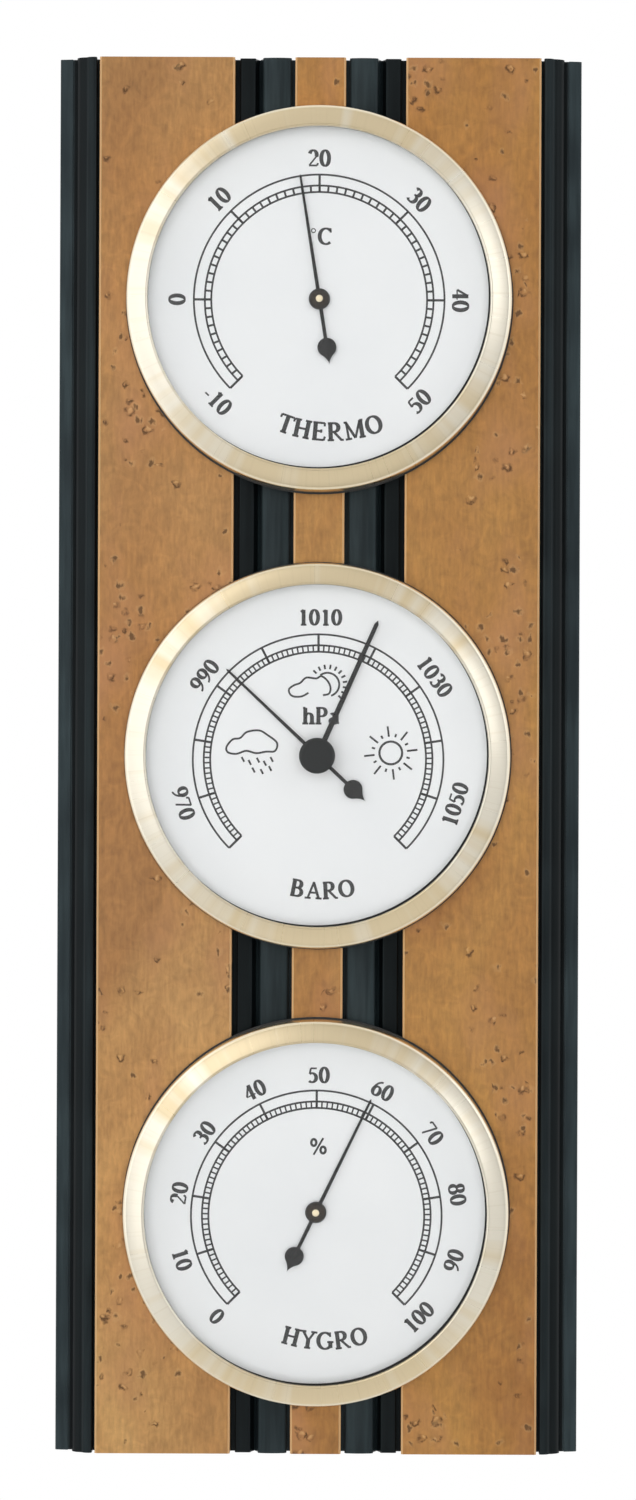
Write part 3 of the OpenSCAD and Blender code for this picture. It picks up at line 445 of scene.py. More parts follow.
# Each insert hangs in a moulded plastic cup with a front flange, and a rubber band round
# the cup grips the board's hole.
def moulded_plastic(name, colour, roughness, grain, relief):
    """An injection moulded plastic with a fine spark-eroded texture."""
    material, shader, add = new_finish(name, {"Base Color": linear(colour), "IOR": 1.53})
    texture = add("TexNoise", {"Vector": place_in_mm(add), "Scale": 1 / grain, "Detail": 4})
    sheen = add("MapRange", texture, 0, 1, roughness - 0.07, roughness + 0.07)
    bump = add("Bump", {"Height": texture, "Strength": 0.5, "Distance": relief * MM})
    feed(shader, {"Roughness": sheen, "Normal": bump})
    return material


# ABS, moulded black with a fine matt texture
case_plastic = moulded_plastic("matt_black_abs", "#17181A", 0.55, 0.5, 0.03)
# Nitrile rubber: nearly black and dull
band_rubber = moulded_plastic("black_rubber", "#0F0F10", 0.8, 0.8, 0.02)
for dial in dials:
    refined(f"{dial}_housing", case_plastic)
    refined(f"{dial}_grip_band", band_rubber)


# The movements sit inside the cups. The thermometer and hygrometer have a sensing coil
# between an arbor and an adjuster, and the barometer an aneroid capsule with its gearing.
# Machined brass: yellow and bright, with fine tool marks
movement_brass = cut_metal("machined_brass", "#C9A45C", 0.3, 0.25)
# Turned steel: grey and bright
movement_steel = cut_metal("turned_steel", "#A3A5A7", 0.28, 0.25)
# A rolled strip of two metals: straw grey
bimetal = cut_metal("rolled_bimetal_strip", "#9C9484", 0.34, 0.4)
# A metal strip with a treated paper face: buff and dull
treated_paper = cut_metal("treated_paper_strip", "#B79A6D", 0.75, 0.3, metallic=0.0)
# Nickel silver, pressed in rings: pale with a soft shine
capsule_metal = cut_metal("pressed_nickel_silver", "#B5B1A6", 0.3, 0.5)
for dial, strip in (("thermometer", bimetal), ("hygrometer", treated_paper)):
    refined(f"{dial}_coil", strip, crease=25)
    for part in ("bracket", "adjuster"):
        refined(f"{dial}_{part}", movement_brass)
    for part in ("bracket_screws", "arbor"):
        refined(f"{dial}_{part}", movement_steel)
for part in ("capsule_lower", "capsule_upper"):
    refined(f"barometer_{part}", capsule_metal, crease=60)
for part in ("base_plate", "capsule_post", "pillars", "lower_plate", "top_plate", "sector", "set_bush"):
    refined(f"barometer_{part}", movement_brass)
for part in ("rocking_shaft", "link", "arbor", "hairspring", "adjusting_screw", "movement_screws"):
    refined(f"barometer_{part}", movement_steel)


# The dials are thin aluminium discs, silvered white and printed. A white spacer ring keeps
# the lens off the hands.
def silvered_dial():
    """Aluminium, sprayed silver-white: pale, with a very fine grain and a faint bloom."""
    silver_white, cooler = "#F3F4F4", "#EBEDEE"
    grain, bloom = 0.45, 26
    material, shader, add = new_finish("silver_white_dial", {"Roughness": 0.5, "Metallic": 0.04})
    place = place_in_mm(add)
    fine, soft = [add("TexNoise", {"Vector": place, "Scale": 1 / size, "Detail": 2})
                  for size in (grain, bloom)]
    both = add("Math", fine, soft, operation="ADD")
    tone = add("MapRange", both, 0.6, 1.4)
    base = layered(add, cooler, (tone, silver_white))
    bump = add("Bump", {"Height": fine, "Strength": 0.2, "Distance": 0.01 * MM})
    feed(shader, {"Base Color": base, "Normal": bump})
    return material


dial_white = silvered_dial()
# Polystyrene, moulded white and matt
spacer_white = moulded_plastic("matt_white_polystyrene", "#E6E6E1", 0.6, 0.6, 0.02)
for dial in dials:
    refined(f"{dial}_dial", dial_white)
    refined(f"{dial}_spacer", spacer_white)


# The scales are screen printed in black ink: three thin arcs, a rung for every degree,
# hectopascal or percent between the inner two, and a bolder tick at every tenth.
first_angle, last_angle = -135, 135
scale_sweep = last_angle - first_angle
dial_face_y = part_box("barometer_dial")[0].y
INK_DEPTH = 0.03 * MM


def printing_ink():
    """Screen printing ink: nearly black, flat, and slightly uneven where it is thin."""
    material, shader, add = new_finish("black_printing_ink", {"Roughness": 0.6})
    spread = add("TexNoise", {"Vector": place_in_mm(add), "Scale": 2.2, "Detail": 2})
    feed(shader, {"Base Color": layered(add, "#0C0D0E", (spread, "#181A1A"))})
    return material


def printed_lines(name, with_rings):
    """A tree that prints ticks round a centre, and with them the arcs of a scale. It draws
    flat, x to the right and y up, with the ink rising along z."""
    tree = bpy.data.node_groups.new(name, "GeometryNodeTree")
    add = partial(add_node, tree)
    numbers = ("First angle", "Sweep", "Inner radius", "Middle radius", "Outer radius", "Line", "Rung line",
               "Bold line", "Ink depth")
    for kind, labels in (("Int", ("Divisions", "Bold every")), ("Float", numbers), ("Material", ("Ink",))):
        for label in labels:
            tree.interface.new_socket(label, in_out="INPUT", socket_type=f"NodeSocket{kind}")
    tree.interface.new_socket("Print", in_out="OUTPUT", socket_type="NodeSocketGeometry")
    given = add("NodeGroupInput").outputs
    step = add("Math", given["Sweep"], given["Divisions"], operation="DIVIDE")

    def ticks(every, count, inner, outer, width):
        """A tick at every so many divisions, between two radii."""
        division = add("Math", add("GeometryNodeInputIndex"), every, operation="MULTIPLY")
        angle = add("Math", division, step, given["First angle"], operation="MULTIPLY_ADD")
        total = add("Math", inner, outer, operation="ADD")
        middle = add("Math", total, 0.5, operation="MULTIPLY")
        long = add("Math", outer, inner, operation="SUBTRACT")
        across, up = [add("Math", angle, operation=operation) for operation in ("COSINE", "SINE")]
        ray = add("CombineXYZ", across, up)
        place = add("VectorMath", {0: ray, "Scale": middle}, operation="SCALE")
        points = add("GeometryNodePoints", {"Count": count, "Position": place})
        size = add("CombineXYZ", long, width, given["Ink depth"])
        return add("GeometryNodeInstanceOnPoints", {
            "Points": points, "Instance": add("GeometryNodeMeshCube", {"Size": size}),
            "Rotation": add("CombineXYZ", {"Z": angle})})

    def ring_line(radius):
        """An arc of ink along the whole sweep."""
        path = add("GeometryNodeCurveArc", {"Radius": radius, "Start Angle": given["First angle"],
                                            "Sweep Angle": given["Sweep"], "Resolution": 181})
        band = add("GeometryNodeCurvePrimitiveQuadrilateral",
                   {"Width": given["Line"], "Height": given["Ink depth"]})
        return add("GeometryNodeCurveToMesh", {"Curve": path, "Profile Curve": band, "Fill Caps": True})

    one = add("FunctionNodeInputInt", integer=1)
    rungs = add("Math", given["Divisions"], one, operation="ADD")
    tenths = add("Math", given["Divisions"], given["Bold every"], operation="DIVIDE")
    bolds = add("Math", tenths, one, operation="ADD")
    inner, middle, outer = [given[f"{where} radius"] for where in ("Inner", "Middle", "Outer")]
    parts = [ticks(one, rungs, inner, middle, given["Rung line"]),
             ticks(given["Bold every"], bolds, inner, outer, given["Bold line"])]
    if with_rings:
        parts += [ring_line(radius) for radius in (inner, middle, outer)]
    joined = add("GeometryNodeJoinGeometry")
    for part in parts:
        feed(joined, {0: part})
    whole = add("GeometryNodeRealizeInstances", joined)
    inked = add("GeometryNodeSetMaterial", {"Geometry": whole, "Material": given["Ink"]})
    add("NodeGroupOutput", {"Print": inked})
    return tree


# The print isn't quite central, and on the lower two dials it sits low: right and up, in mm
off_centre = {"thermometer": (-0.1, -0.1), "barometer": (0.1, -1.05), "hygrometer": (0.1, -1.05)}


def on_dial(dial, centre=(0, 0)):
    """Turns a flat drawing into the plane of a dial's face, half sunk into it."""
    right, up = [off * MM for off in off_centre[dial]]
    place = (right + centre[0], dial_face_y - INK_DEPTH / 2, dial_z[dial] + up + centre[1])
    return Matrix.Translation(place) @ Matrix.Rotation(math.radians(90), 4, "X")


def printed(name, tree, sizes, dial, centre=(0, 0)):
    """Bakes a printed tree into a plain mesh on the dial's face, round a centre in x and y."""
    blank = put_in_scene(f"{name}_blank", bpy.data.meshes.new(name))
    modifier = blank.modifiers.new("print", "NODES")
    modifier.node_group = tree
    sockets = {item.name: item.identifier for item in tree.interface.items_tree if item.in_out == "INPUT"}
    for label, value in sizes.items():
        modifier[sockets[label]] = value
    evaluated = blank.evaluated_get(bpy.context.evaluated_depsgraph_get())
    mesh = bpy.data.meshes.new_from_object(evaluated)
    mesh.transform(on_dial(dial, centre))
    bpy.data.objects.remove(blank)
    fit(put_in_scene(name, mesh), "case")


ink = printing_ink()
scale_tree = printed_lines("printed_scale", with_rings=True)
scale_sizes = {
    "First angle": math.radians(90 - last_angle),
    "Sweep": math.radians(scale_sweep),
    "Inner radius": 28.5 * MM,
    "Middle radius": 30.2 * MM,
    "Outer radius": 33.1 * MM,
    "Line": 0.5 * MM,
    "Bold line": 0.62 * MM,
    "Bold every": 10,
    "Ink depth": INK_DEPTH,
    "Ink": ink,
}
for dial, divisions, rung_line in zip(dials, (60, 100, 100), (0.55, 0.42, 0.42)):
    own_sizes = {"Divisions": divisions, "Rung line": rung_line * MM}
    printed(f"{dial}_scale", scale_tree, {**scale_sizes, **own_sizes}, dial)


# The figures, units and words are printed in a serif letter, drawn here as a broad pen
# would: every stroke has a course, and the pen makes uprights thick and level lines thin.
THICK, THIN = 0.24, 0.12
SERIF = 0.18
LOW, HIGH = 0.03, 0.97
FIGURE = 0.7


def line(x0, y0, x1, y1, weight=None):
    """A straight stroke, with its own weight where the pen's wouldn't do."""
    return [(x0, y0), (x1, y1)], weight


def stem(x):
    """An upright over the letter's whole height."""
    return line(x, LOW, x, HIGH)


def bar(x0, x1, y):
    """A thin level stroke."""
    return line(x0, y, x1, y, THIN)


def foot(x, y=LOW):
    """A serif across the end of a stem."""
    return bar(x - SERIF, x + SERIF, y)


def bow(cx, cy, rx, ry, start, end, weight=None):
    """A round stroke along an elliptical arc, in degrees from the right and against the clock."""
    return arc(cx, cy, rx, ry, start, end, 20), weight


def ring(cx, cy, rx, ry, weight=None):
    """A closed round stroke."""
    return bow(cx, cy, rx, ry, 0, 360, weight)


# Each letter's width and strokes, in letter heights. All the figures are equally wide.
LETTERS = {
    "0": (FIGURE, [ring(0.35, 0.5, 0.235, 0.465)]),
    "1": (FIGURE, [stem(0.37), line(0.19, 0.84, 0.37, 0.96, THIN + 0.02), foot(0.37)]),
    "2": (FIGURE, [bow(0.33, 0.7, 0.21, 0.265, 165, -25), line(0.525, 0.6, 0.1, 0.07, 0.1),
                   line(0.08, 0.055, 0.57, 0.055, 0.11), line(0.56, 0.06, 0.62, 0.2, THIN)]),
    "3": (FIGURE, [bow(0.31, 0.745, 0.19, 0.22, 155, -75), bow(0.3, 0.29, 0.25, 0.255, 82, -140),
                   bar(0.25, 0.36, 0.53)]),
    "4": (FIGURE, [line(0.44, 0.95, 0.06, 0.3, THIN + 0.01), line(0.05, 0.29, 0.65, 0.29, 0.08),
                   line(0.45, 0, 0.45, HIGH)]),
    "5": (FIGURE, [line(0.2, 0.92, 0.58, 0.92, 0.11), line(0.21, 0.93, 0.13, 0.56, THIN),
                   bow(0.28, 0.33, 0.26, 0.285, 125, -135)]),
    "6": (FIGURE, [bow(0.62, 0.36, 0.5, 0.6, 98, 178, 0.12), ring(0.355, 0.315, 0.225, 0.285)]),
    "7": (FIGURE, [line(0.1, 0.92, 0.62, 0.92, 0.11), line(0.6, 0.93, 0.28, 0, 0.12),
                   line(0.11, 0.92, 0.07, 0.76, THIN)]),
    "8": (FIGURE, [ring(0.35, 0.745, 0.18, 0.225), ring(0.35, 0.275, 0.23, 0.25)]),
    "9": (FIGURE, [bow(0.08, 0.64, 0.5, 0.6, -82, -2, 0.12), ring(0.345, 0.685, 0.225, 0.285)]),
    "-": (0.45, [line(0.06, 0.33, 0.36, 0.33, 0.1)]),
    "T": (0.86, [bar(0.06, 0.8, HIGH), stem(0.43), foot(0.43), line(0.06, 0.99, 0.04, 0.78, THIN),
                 line(0.8, 0.99, 0.82, 0.78, THIN)]),
    "H": (1.02, [stem(0.22), stem(0.8), line(0.22, 0.51, 0.8, 0.51), foot(0.22), foot(0.22, HIGH),
                 foot(0.8), foot(0.8, HIGH)]),
    "E": (0.86, [stem(0.22), bar(0.08, 0.72, HIGH), bar(0.08, 0.74, LOW), bar(0.22, 0.56, 0.51),
                 line(0.72, 0.99, 0.73, 0.79, THIN), line(0.74, 0.01, 0.79, 0.23, THIN),
                 line(0.56, 0.42, 0.56, 0.61, THIN)]),
    "R": (0.96, [stem(0.22), bar(0.08, 0.42, HIGH), bar(0.22, 0.42, 0.49),
                 bow(0.42, 0.73, 0.24, 0.24, 90, -90), line(0.4, 0.49, 0.82, 0.02, 0.14), foot(0.22),
                 bar(0.76, 0.94, LOW)]),
    "M": (1.2, [line(0.2, LOW, 0.2, HIGH, THIN + 0.01), line(0.18, HIGH, 0.58, 0.04, 0.15),
                line(0.58, 0.04, 0.96, HIGH, THIN + 0.01), stem(0.98), foot(0.2), foot(0.98),
                bar(0.06, 0.24, HIGH), bar(0.94, 1.13, HIGH)]),
    "O": (1.0, [ring(0.5, 0.5, 0.37, 0.47)]),
    "B": (0.92, [stem(0.22), bar(0.08, 0.42, HIGH), bar(0.08, 0.45, LOW), bar(0.22, 0.42, 0.52),
                 bow(0.42, 0.745, 0.22, 0.225, 90, -90), bow(0.45, 0.275, 0.27, 0.245, 90, -90)]),
    "A": (0.98, [line(0.17, LOW, 0.49, 0.98, THIN + 0.01), line(0.47, 0.98, 0.82, LOW, 0.16),
                 bar(0.28, 0.68, 0.35), foot(0.17), foot(0.82)]),
    "Y": (0.96, [line(0.16, HIGH, 0.5, 0.47, 0.15), line(0.8, HIGH, 0.52, 0.47, THIN + 0.01),
                 line(0.5, LOW, 0.5, 0.5), foot(0.5), foot(0.16, HIGH), foot(0.8, HIGH)]),
    "G": (1.04, [bow(0.52, 0.5, 0.39, 0.47, 48, 312), line(0.83, 0.08, 0.83, 0.42), foot(0.83, 0.43),
                 line(0.8, 0.99, 0.82, 0.72, THIN)]),
    "C": (0.94, [bow(0.5, 0.5, 0.38, 0.47, 48, 312), line(0.77, 0.99, 0.79, 0.72, THIN)]),
    "P": (0.82, [stem(0.2), bar(0.06, 0.4, HIGH), bar(0.2, 0.4, 0.47), bow(0.4, 0.72, 0.24, 0.25, 90, -90),
                 foot(0.2)]),
    "h": (0.78, [stem(0.19), bow(0.39, 0.42, 0.2, 0.22, 175, 0), line(0.59, LOW, 0.59, 0.43),
                 bar(0.05, 0.2, HIGH), foot(0.19), foot(0.59)]),
    "a": (0.68, [bow(0.3, 0.48, 0.18, 0.16, 150, 0), line(0.48, 0.12, 0.48, 0.5),
                 bow(0.29, 0.19, 0.19, 0.165, 50, 330), line(0.47, 0.1, 0.62, 0.05, THIN)]),
    "°": (0.45, [ring(0.2, 0.84, 0.12, 0.12, 0.06)]),
    "%": (1.1, [ring(0.27, 0.72, 0.15, 0.2, 0.15), ring(0.83, 0.27, 0.15, 0.2, 0.15),
                line(0.84, 0.99, 0.26, -0.02, THIN)]),
}


def pen_stroke(course, weight, vertices, faces):
    """Adds one stroke of the pen as a thin closed slab along its course, in letter heights."""
    closed = math.dist(course[0], course[-1]) < 0.001
    points = [Vector(p) for p in course]
    count = len(points)
    start = len(vertices)
    for i, point in enumerate(points):
        before = points[-2] if closed and i == 0 else points[max(i - 1, 0)]
        after = points[1] if closed and i == count - 1 else points[min(i + 1, count - 1)]
        along = (after - before).normalized()
        width = weight or math.hypot(THICK * along.y, THIN * along.x)
        out = Vector((-along.y, along.x)) * width / 2
        for side in (point + out, point - out):
            vertices += [(side.x, side.y, 0), (side.x, side.y, 1)]
    for i in range(count - 1):
        a, b = start + 4 * i, start + 4 * (i + 1)
        faces += [(a, a + 1, b + 1, b), (a + 3, a + 2, b + 2, b + 3),
                  (a + 1, a + 3, b + 3, b + 1), (a + 2, a, b, b + 2)]
    if not closed:
        last = start + 4 * (count - 1)
        faces += [(start, start + 2, start + 3, start + 1), (last + 1, last + 3, last + 2, last)]


class Lettering:
    """What is printed on one dial: strokes gathered in letter heights and set in place."""

    def __init__(self, dial):
        self.dial = dial
        self.vertices = []
        self.faces = []

    def set_strokes(self, strokes, place):
        """Sets strokes in place with a 4x4 matrix that maps letter heights to metres."""
        vertices = []
        faces = []
        for course, weight in strokes:
            pen_stroke(course, weight, vertices, faces)
        base = len(self.vertices)
        self.vertices += [place @ Vector(v) for v in vertices]
        self.faces += [tuple(base + i for i in face) for face in faces]

    def set_text(self, text, height, radius, angle, centre, curved=False):
        """Sets a text at a radius and angle about a centre off the print's own, upright in the
        lower half too. A curved text follows its radius, letter by letter."""
        x = -sum(LETTERS[letter][0] for letter in text) / 2
        upper = abs(angle) <= 90
        turn = math.radians(-angle if upper else 180 - angle)
        for letter in text:
            advance, strokes = LETTERS[letter]
            swing, start = ((x + advance / 2) * height / radius, -advance / 2) if curved else (0, x)
            place = (on_dial(self.dial, centre)
                     @ Matrix.Rotation(turn + swing, 4, "Z")
                     @ Matrix.Translation((0, radius if upper else -radius, 0))
                     @ Matrix.Diagonal((height, height, INK_DEPTH, 1))
                     @ Matrix.Translation((start, -0.5, 0)))
            self.set_strokes(strokes, place)
            x += advance

    def printed(self, name):
        """Turns what is set into a piece."""
        new_piece(name, self.vertices, self.faces, ink, "case")


# Sizes and places in mm. A unit stands above the hub, and a word along the dial's bottom.
lower_r, word_r, unit_size = 37.7, 35.6, 4.4
readings = {
    "thermometer": {
        "range": (-10, 50), "figures": range(-10, 51, 10), "size": 4.4, "radius": 37.45, "aside": -0.1,
        "unit": "°C", "unit_up": 16.8, "unit_aside": 0.6,
        "word": "THERMO", "word_size": 4.75, "word_at": (3.1, 0.8)},
    "barometer": {
        "range": (960, 1060), "figures": range(970, 1051, 20), "size": 4.2, "radius": 37.6, "aside": 0.35,
        "unit": "hPa", "unit_up": 11.6, "unit_aside": 0.75,
        "word": "BARO", "word_size": 4.45, "word_at": (1.25, 1.05)},
    "hygrometer": {
        "range": (0, 100), "figures": range(0, 101, 10), "size": 4.2, "radius": 37.2, "aside": 0.5,
        "unit": "%", "unit_up": 18.4, "unit_aside": 0.5,
        "word": "HYGRO", "word_size": 4.55, "word_at": (2.4, 2.6)},
}
for dial, print_of in readings.items():
    lettering = Lettering(dial)
    lowest, highest = print_of["range"]
    for value in print_of["figures"]:
        angle = first_angle + scale_sweep * (value - lowest) / (highest - lowest)
        figure_r = print_of["radius"] if abs(angle) <= 90 else lower_r
        aside = (print_of["aside"] * MM, 0)
        lettering.set_text(str(value), print_of["size"] * MM, figure_r * MM, angle, aside)
    aside = (print_of["unit_aside"] * MM, 0)
    lettering.set_text(print_of["unit"], unit_size * MM, print_of["unit_up"] * MM, 0, aside)
    centre = [off * MM for off in print_of["word_at"]]
    lettering.set_text(print_of["word"], print_of["word_size"] * MM, word_r * MM, 180, centre, curved=True)
    lettering.printed(f"{dial}_lettering")


# The barometer's weather signs are printed like the scale, in a finer line: a rain cloud, a
# cloud before the sun, and a sun with long and short rays.
SIGN_LINE = 0.52
SIGNS_UP = 1.05 * MM


def smooth_course(points, closed, steps=6):
    """A smooth course through a few points."""
    count = len(points)
    course = []
    for i in range(count if closed else count - 1):
        around = [i + k for k in (-1, 0, 1, 2)]
        p = [Vector(points[k % count if closed else min(max(k, 0), count - 1)]) for k in around]
        for step in range(steps):
            t = step / steps
            course.append(0.5 * (2 * p[1] + (p[2] - p[0]) * t
                                 + (2 * p[0] - 5 * p[1] + 4 * p[2] - p[3]) * t ** 2
                                 + (3 * p[1] - p[0] - 3 * p[2] + p[3]) * t ** 3))
    course.append(Vector(points[0 if closed else -1]))
    return course


def signs():
    """Strokes of the signs in millimetres from the dial's centre, without the last sun's rays."""
    rain_cloud = [(-24.2, 2.2), (-22.6, 4.2), (-20.6, 4.6), (-18.8, 6.2), (-15.6, 6.6), (-13.4, 5.4),
                  (-10.9, 3.4), (-11.4, 1.2), (-13.8, 1.0), (-16.4, 0.6), (-19.0, 1.2), (-21.6, 0.4),
                  (-23.8, 0.8)]
    drops = [(-20.2, -0.4), (-18.4, -1.2), (-16.2, -0.6), (-14.4, -1.4), (-12.6, -0.4),
             (-17.4, -3.2), (-15.2, -3.6), (-13.0, -2.8)]
    fair_cloud = [(-2.6, 16.6), (-4.6, 15.6), (-7.0, 15.8), (-7.8, 17.4), (-6.4, 18.6), (-4.8, 19.2),
                  (-3.2, 20.6), (-0.6, 20.4), (0.8, 21.0), (2.4, 19.8), (3.2, 18.0), (2.8, 16.4),
                  (1.2, 16.0)]
    half_sun = (2.4, 18.8)
    courses = [smooth_course(rain_cloud, True), smooth_course(fair_cloud, False)]
    courses += [[(x, y), (x + 0.7, y - 1.3)] for x, y in drops]
    courses.append(arc(*half_sun, 3.1, 3.1, 128, -72, 24))
    for degrees in range(-45, 136, 18):
        ray = Vector((math.cos(math.radians(degrees)), math.sin(math.radians(degrees))))
        courses.append([Vector(half_sun) + ray * 4.1, Vector(half_sun) + ray * 5.3])
    sun_disc = (arc(*sun_at, 3.0, 3.0, 0, 360, 40), SIGN_LINE + 0.08)
    return [*((course, SIGN_LINE) for course in courses), sun_disc]


sun_at = (19.2, 0.8)
weather_signs = Lettering("barometer")
in_mm = on_dial("barometer", (0, SIGNS_UP)) @ Matrix.Diagonal((MM, MM, INK_DEPTH, 1))
weather_signs.set_strokes(signs(), in_mm)
weather_signs.printed("barometer_weather_signs")
rays = {
    **scale_sizes,
    "Divisions": 16,
    "First angle": math.radians(7),
    "Sweep": math.radians(360),
    "Inner radius": 4.3 * MM,
    "Middle radius": 5.2 * MM,
    "Outer radius": 7.1 * MM,
    "Rung line": SIGN_LINE * MM,
    "Bold line": SIGN_LINE * MM,
    "Bold every": 2,
}
ray_tree = printed_lines("printed_rays", with_rings=False)
printed("barometer_sun_rays", ray_tree, rays, "barometer", (sun_at[0] * MM, sun_at[1] * MM + SIGNS_UP))


# The hands are pressed from thin steel and enamelled black. Each is pressed on its arbor under a small
# domed cap of dark bronze, with a pale tip in its middle that is a painted highlight on the dome.
def turned(name, section, segments, dial, material, body, slot, node=None):
    """A piece turned about a dial's axis. For each angle from the top, its section gives the
    points of a closed outline, as radius and height in millimetres."""
    vertices, faces = [], []
    for k in range(segments):
        angle = 2 * math.pi * k / segments
        points = section(angle)
        for radius, height in points:
            vertices.append((radius * MM * math.sin(angle), front_y - height * MM,
                             dial_z[dial] + radius * MM * math.cos(angle)))
        count = len(points)
        here, there = k * count, (k + 1) % segments * count
        sides = [(i, (i + 1) % count) for i in range(count)]
        faces += [(here + i, here + j, there + j, there + i) for i, j in sides]
    new_piece(name, vertices, faces, material, body, node)


def black_enamel():
    """Stoved enamel on steel: black with a soft gloss and a trace of orange peel."""
    material, shader, add = new_finish(
        "black_enamel", {"Base Color": linear("#0A0B0B"), "Roughness": 0.14, "Specular IOR Level": 0.12})
    peel = add("TexNoise", {"Vector": place_in_mm(add), "Scale": 1.2, "Detail": 1})
    feed(shader, {"Normal": add("Bump", {"Height": peel, "Strength": 0.3, "Distance": 0.02 * MM})})
    return material


enamel = black_enamel()
# Bronze, turned to a dome and stained nearly black
dark_bronze = cut_metal("darkened_bronze", "#2A2218", 0.3, 0.2)
# A pale brass tip with a soft shine: a painted highlight in the middle of the dome
tip_highlight = cut_metal("bright_highlight_tip", "#F0E2C2", 0.5, 0.2)
for dial in dials:
    refined(f"{dial}_pointer", enamel, bevel=0.1 * MM)
cap_low, cap_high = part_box("thermometer_hub_cap")
cap_r = (cap_high.x - cap_low.x) / 2 / MM
cap_base, cap_top = [(front_y - y) / MM for y in (cap_high.y, cap_low.y)]
dome = [(0, cap_base), *arc(0, cap_base, cap_r, cap_top - cap_base, 0, 90, 16)]
# The pale tip on each cap is a painted highlight
tip_r = 0.95
tip = [(0, cap_top - 0.3), *arc(0, cap_top - 0.1, tip_r, 0.3, 0, 90, 8)]
for dial in ("thermometer", "hygrometer"):
    on_hand = (f"{dial}_hand", "movement_brass")
    turned(f"{dial}_domed_cap", lambda angle: dome, 48, dial, dark_bronze, *on_hand, f"{dial}_hub_cap")
    turned(f"{dial}_highlight_tip", lambda angle: tip, 32, dial, tip_highlight, *on_hand)


# The barometer's marker hand is set by a black knob in front of the lens, on a bush through
# its middle, to remember a reading.
knob_plastic = moulded_plastic("satin_black_knob", "#1E2121", 0.42, 0.35, 0.01)
refined("barometer_set_hand", enamel, bevel=0.12 * MM)
refined("barometer_set_knob", knob_plastic, crease=30, bevel=0.15 * MM)


# The lenses are flat discs of window glass, laid on the spacers.
def lens_glass():
    """Float glass: clear and colourless. Light on its way to the dial passes through."""
    material, shader, add = new_finish("clear_float_glass", {
        "Base Color": linear("#FDFDFD"), "Roughness": 0.0, "IOR": 1.5, "Specular IOR Level": 0.2,
        "Transmission Weight": 1.0})
    path = add("LightPath").outputs
    clear = add("BsdfTransparent", {"Color": linear("#FAFAFA")})
    passes = add("Math", path["Is Shadow Ray"], path["Is Diffuse Ray"], operation="MAXIMUM")
    mix = add("MixShader", passes, shader, clear)
    feed(material.node_tree.nodes["Material Output"], {"Surface": mix})
    return material


dress(lens_glass(), *[f"{dial}_lens" for dial in dials])


# A thin black rubber seal lies on each lens, inside the bezel's edge. Its inside is off centre, so that it
# is widest towards the lower right, where it shows as a black line.
def seal_section(angle):
    """A flat strip with a round outside, and an inside that is off centre."""
    outer_r, low_h, high_h = 45.04, 8.1, 8.3
    widening, least, towards = 0.6, 0.02, math.radians(135)
    inner_r = outer_r - least - widening * max(math.cos(angle - towards), 0)
    return [(outer_r, low_h), (outer_r, high_h), (inner_r, high_h), (inner_r, low_h)]


for dial in dials:
    turned(f"{dial}_lens_seal", seal_section, 192, dial, band_rubber, "case", "grip_rubber")


# The bezels are spun from thin brass sheet: a skirt round the flange, a rounded lip, and a
# face that slopes up and inwards to an edge turned down on the lens.
def bezel_section():
    """The sheet's outer skin from the skirt inwards, then its inner skin back out."""
    outer, opening, sheet, foot_h = 50.8, 45.05, 0.7, 0.55
    lens_front, lip, lip_h = 8.1, 1.2, 7
    eye = 0.55
    eye_r, eye_h = opening + eye, 9.45
    return [
        (outer, foot_h),
        *arc(outer - lip, lip_h, lip, lip, 0, 90, 16),
        *arc(eye_r, eye_h, eye, eye, 66, 180, 20),
        (opening, lens_front), (opening + sheet, lens_front),
        (opening + sheet, eye_h - 0.2), (eye_r + 0.6, eye_h - 0.35),
        *arc(outer - lip, lip_h, lip - sheet, lip - sheet, 90, 0, 6),
        (outer - sheet, foot_h),
    ]


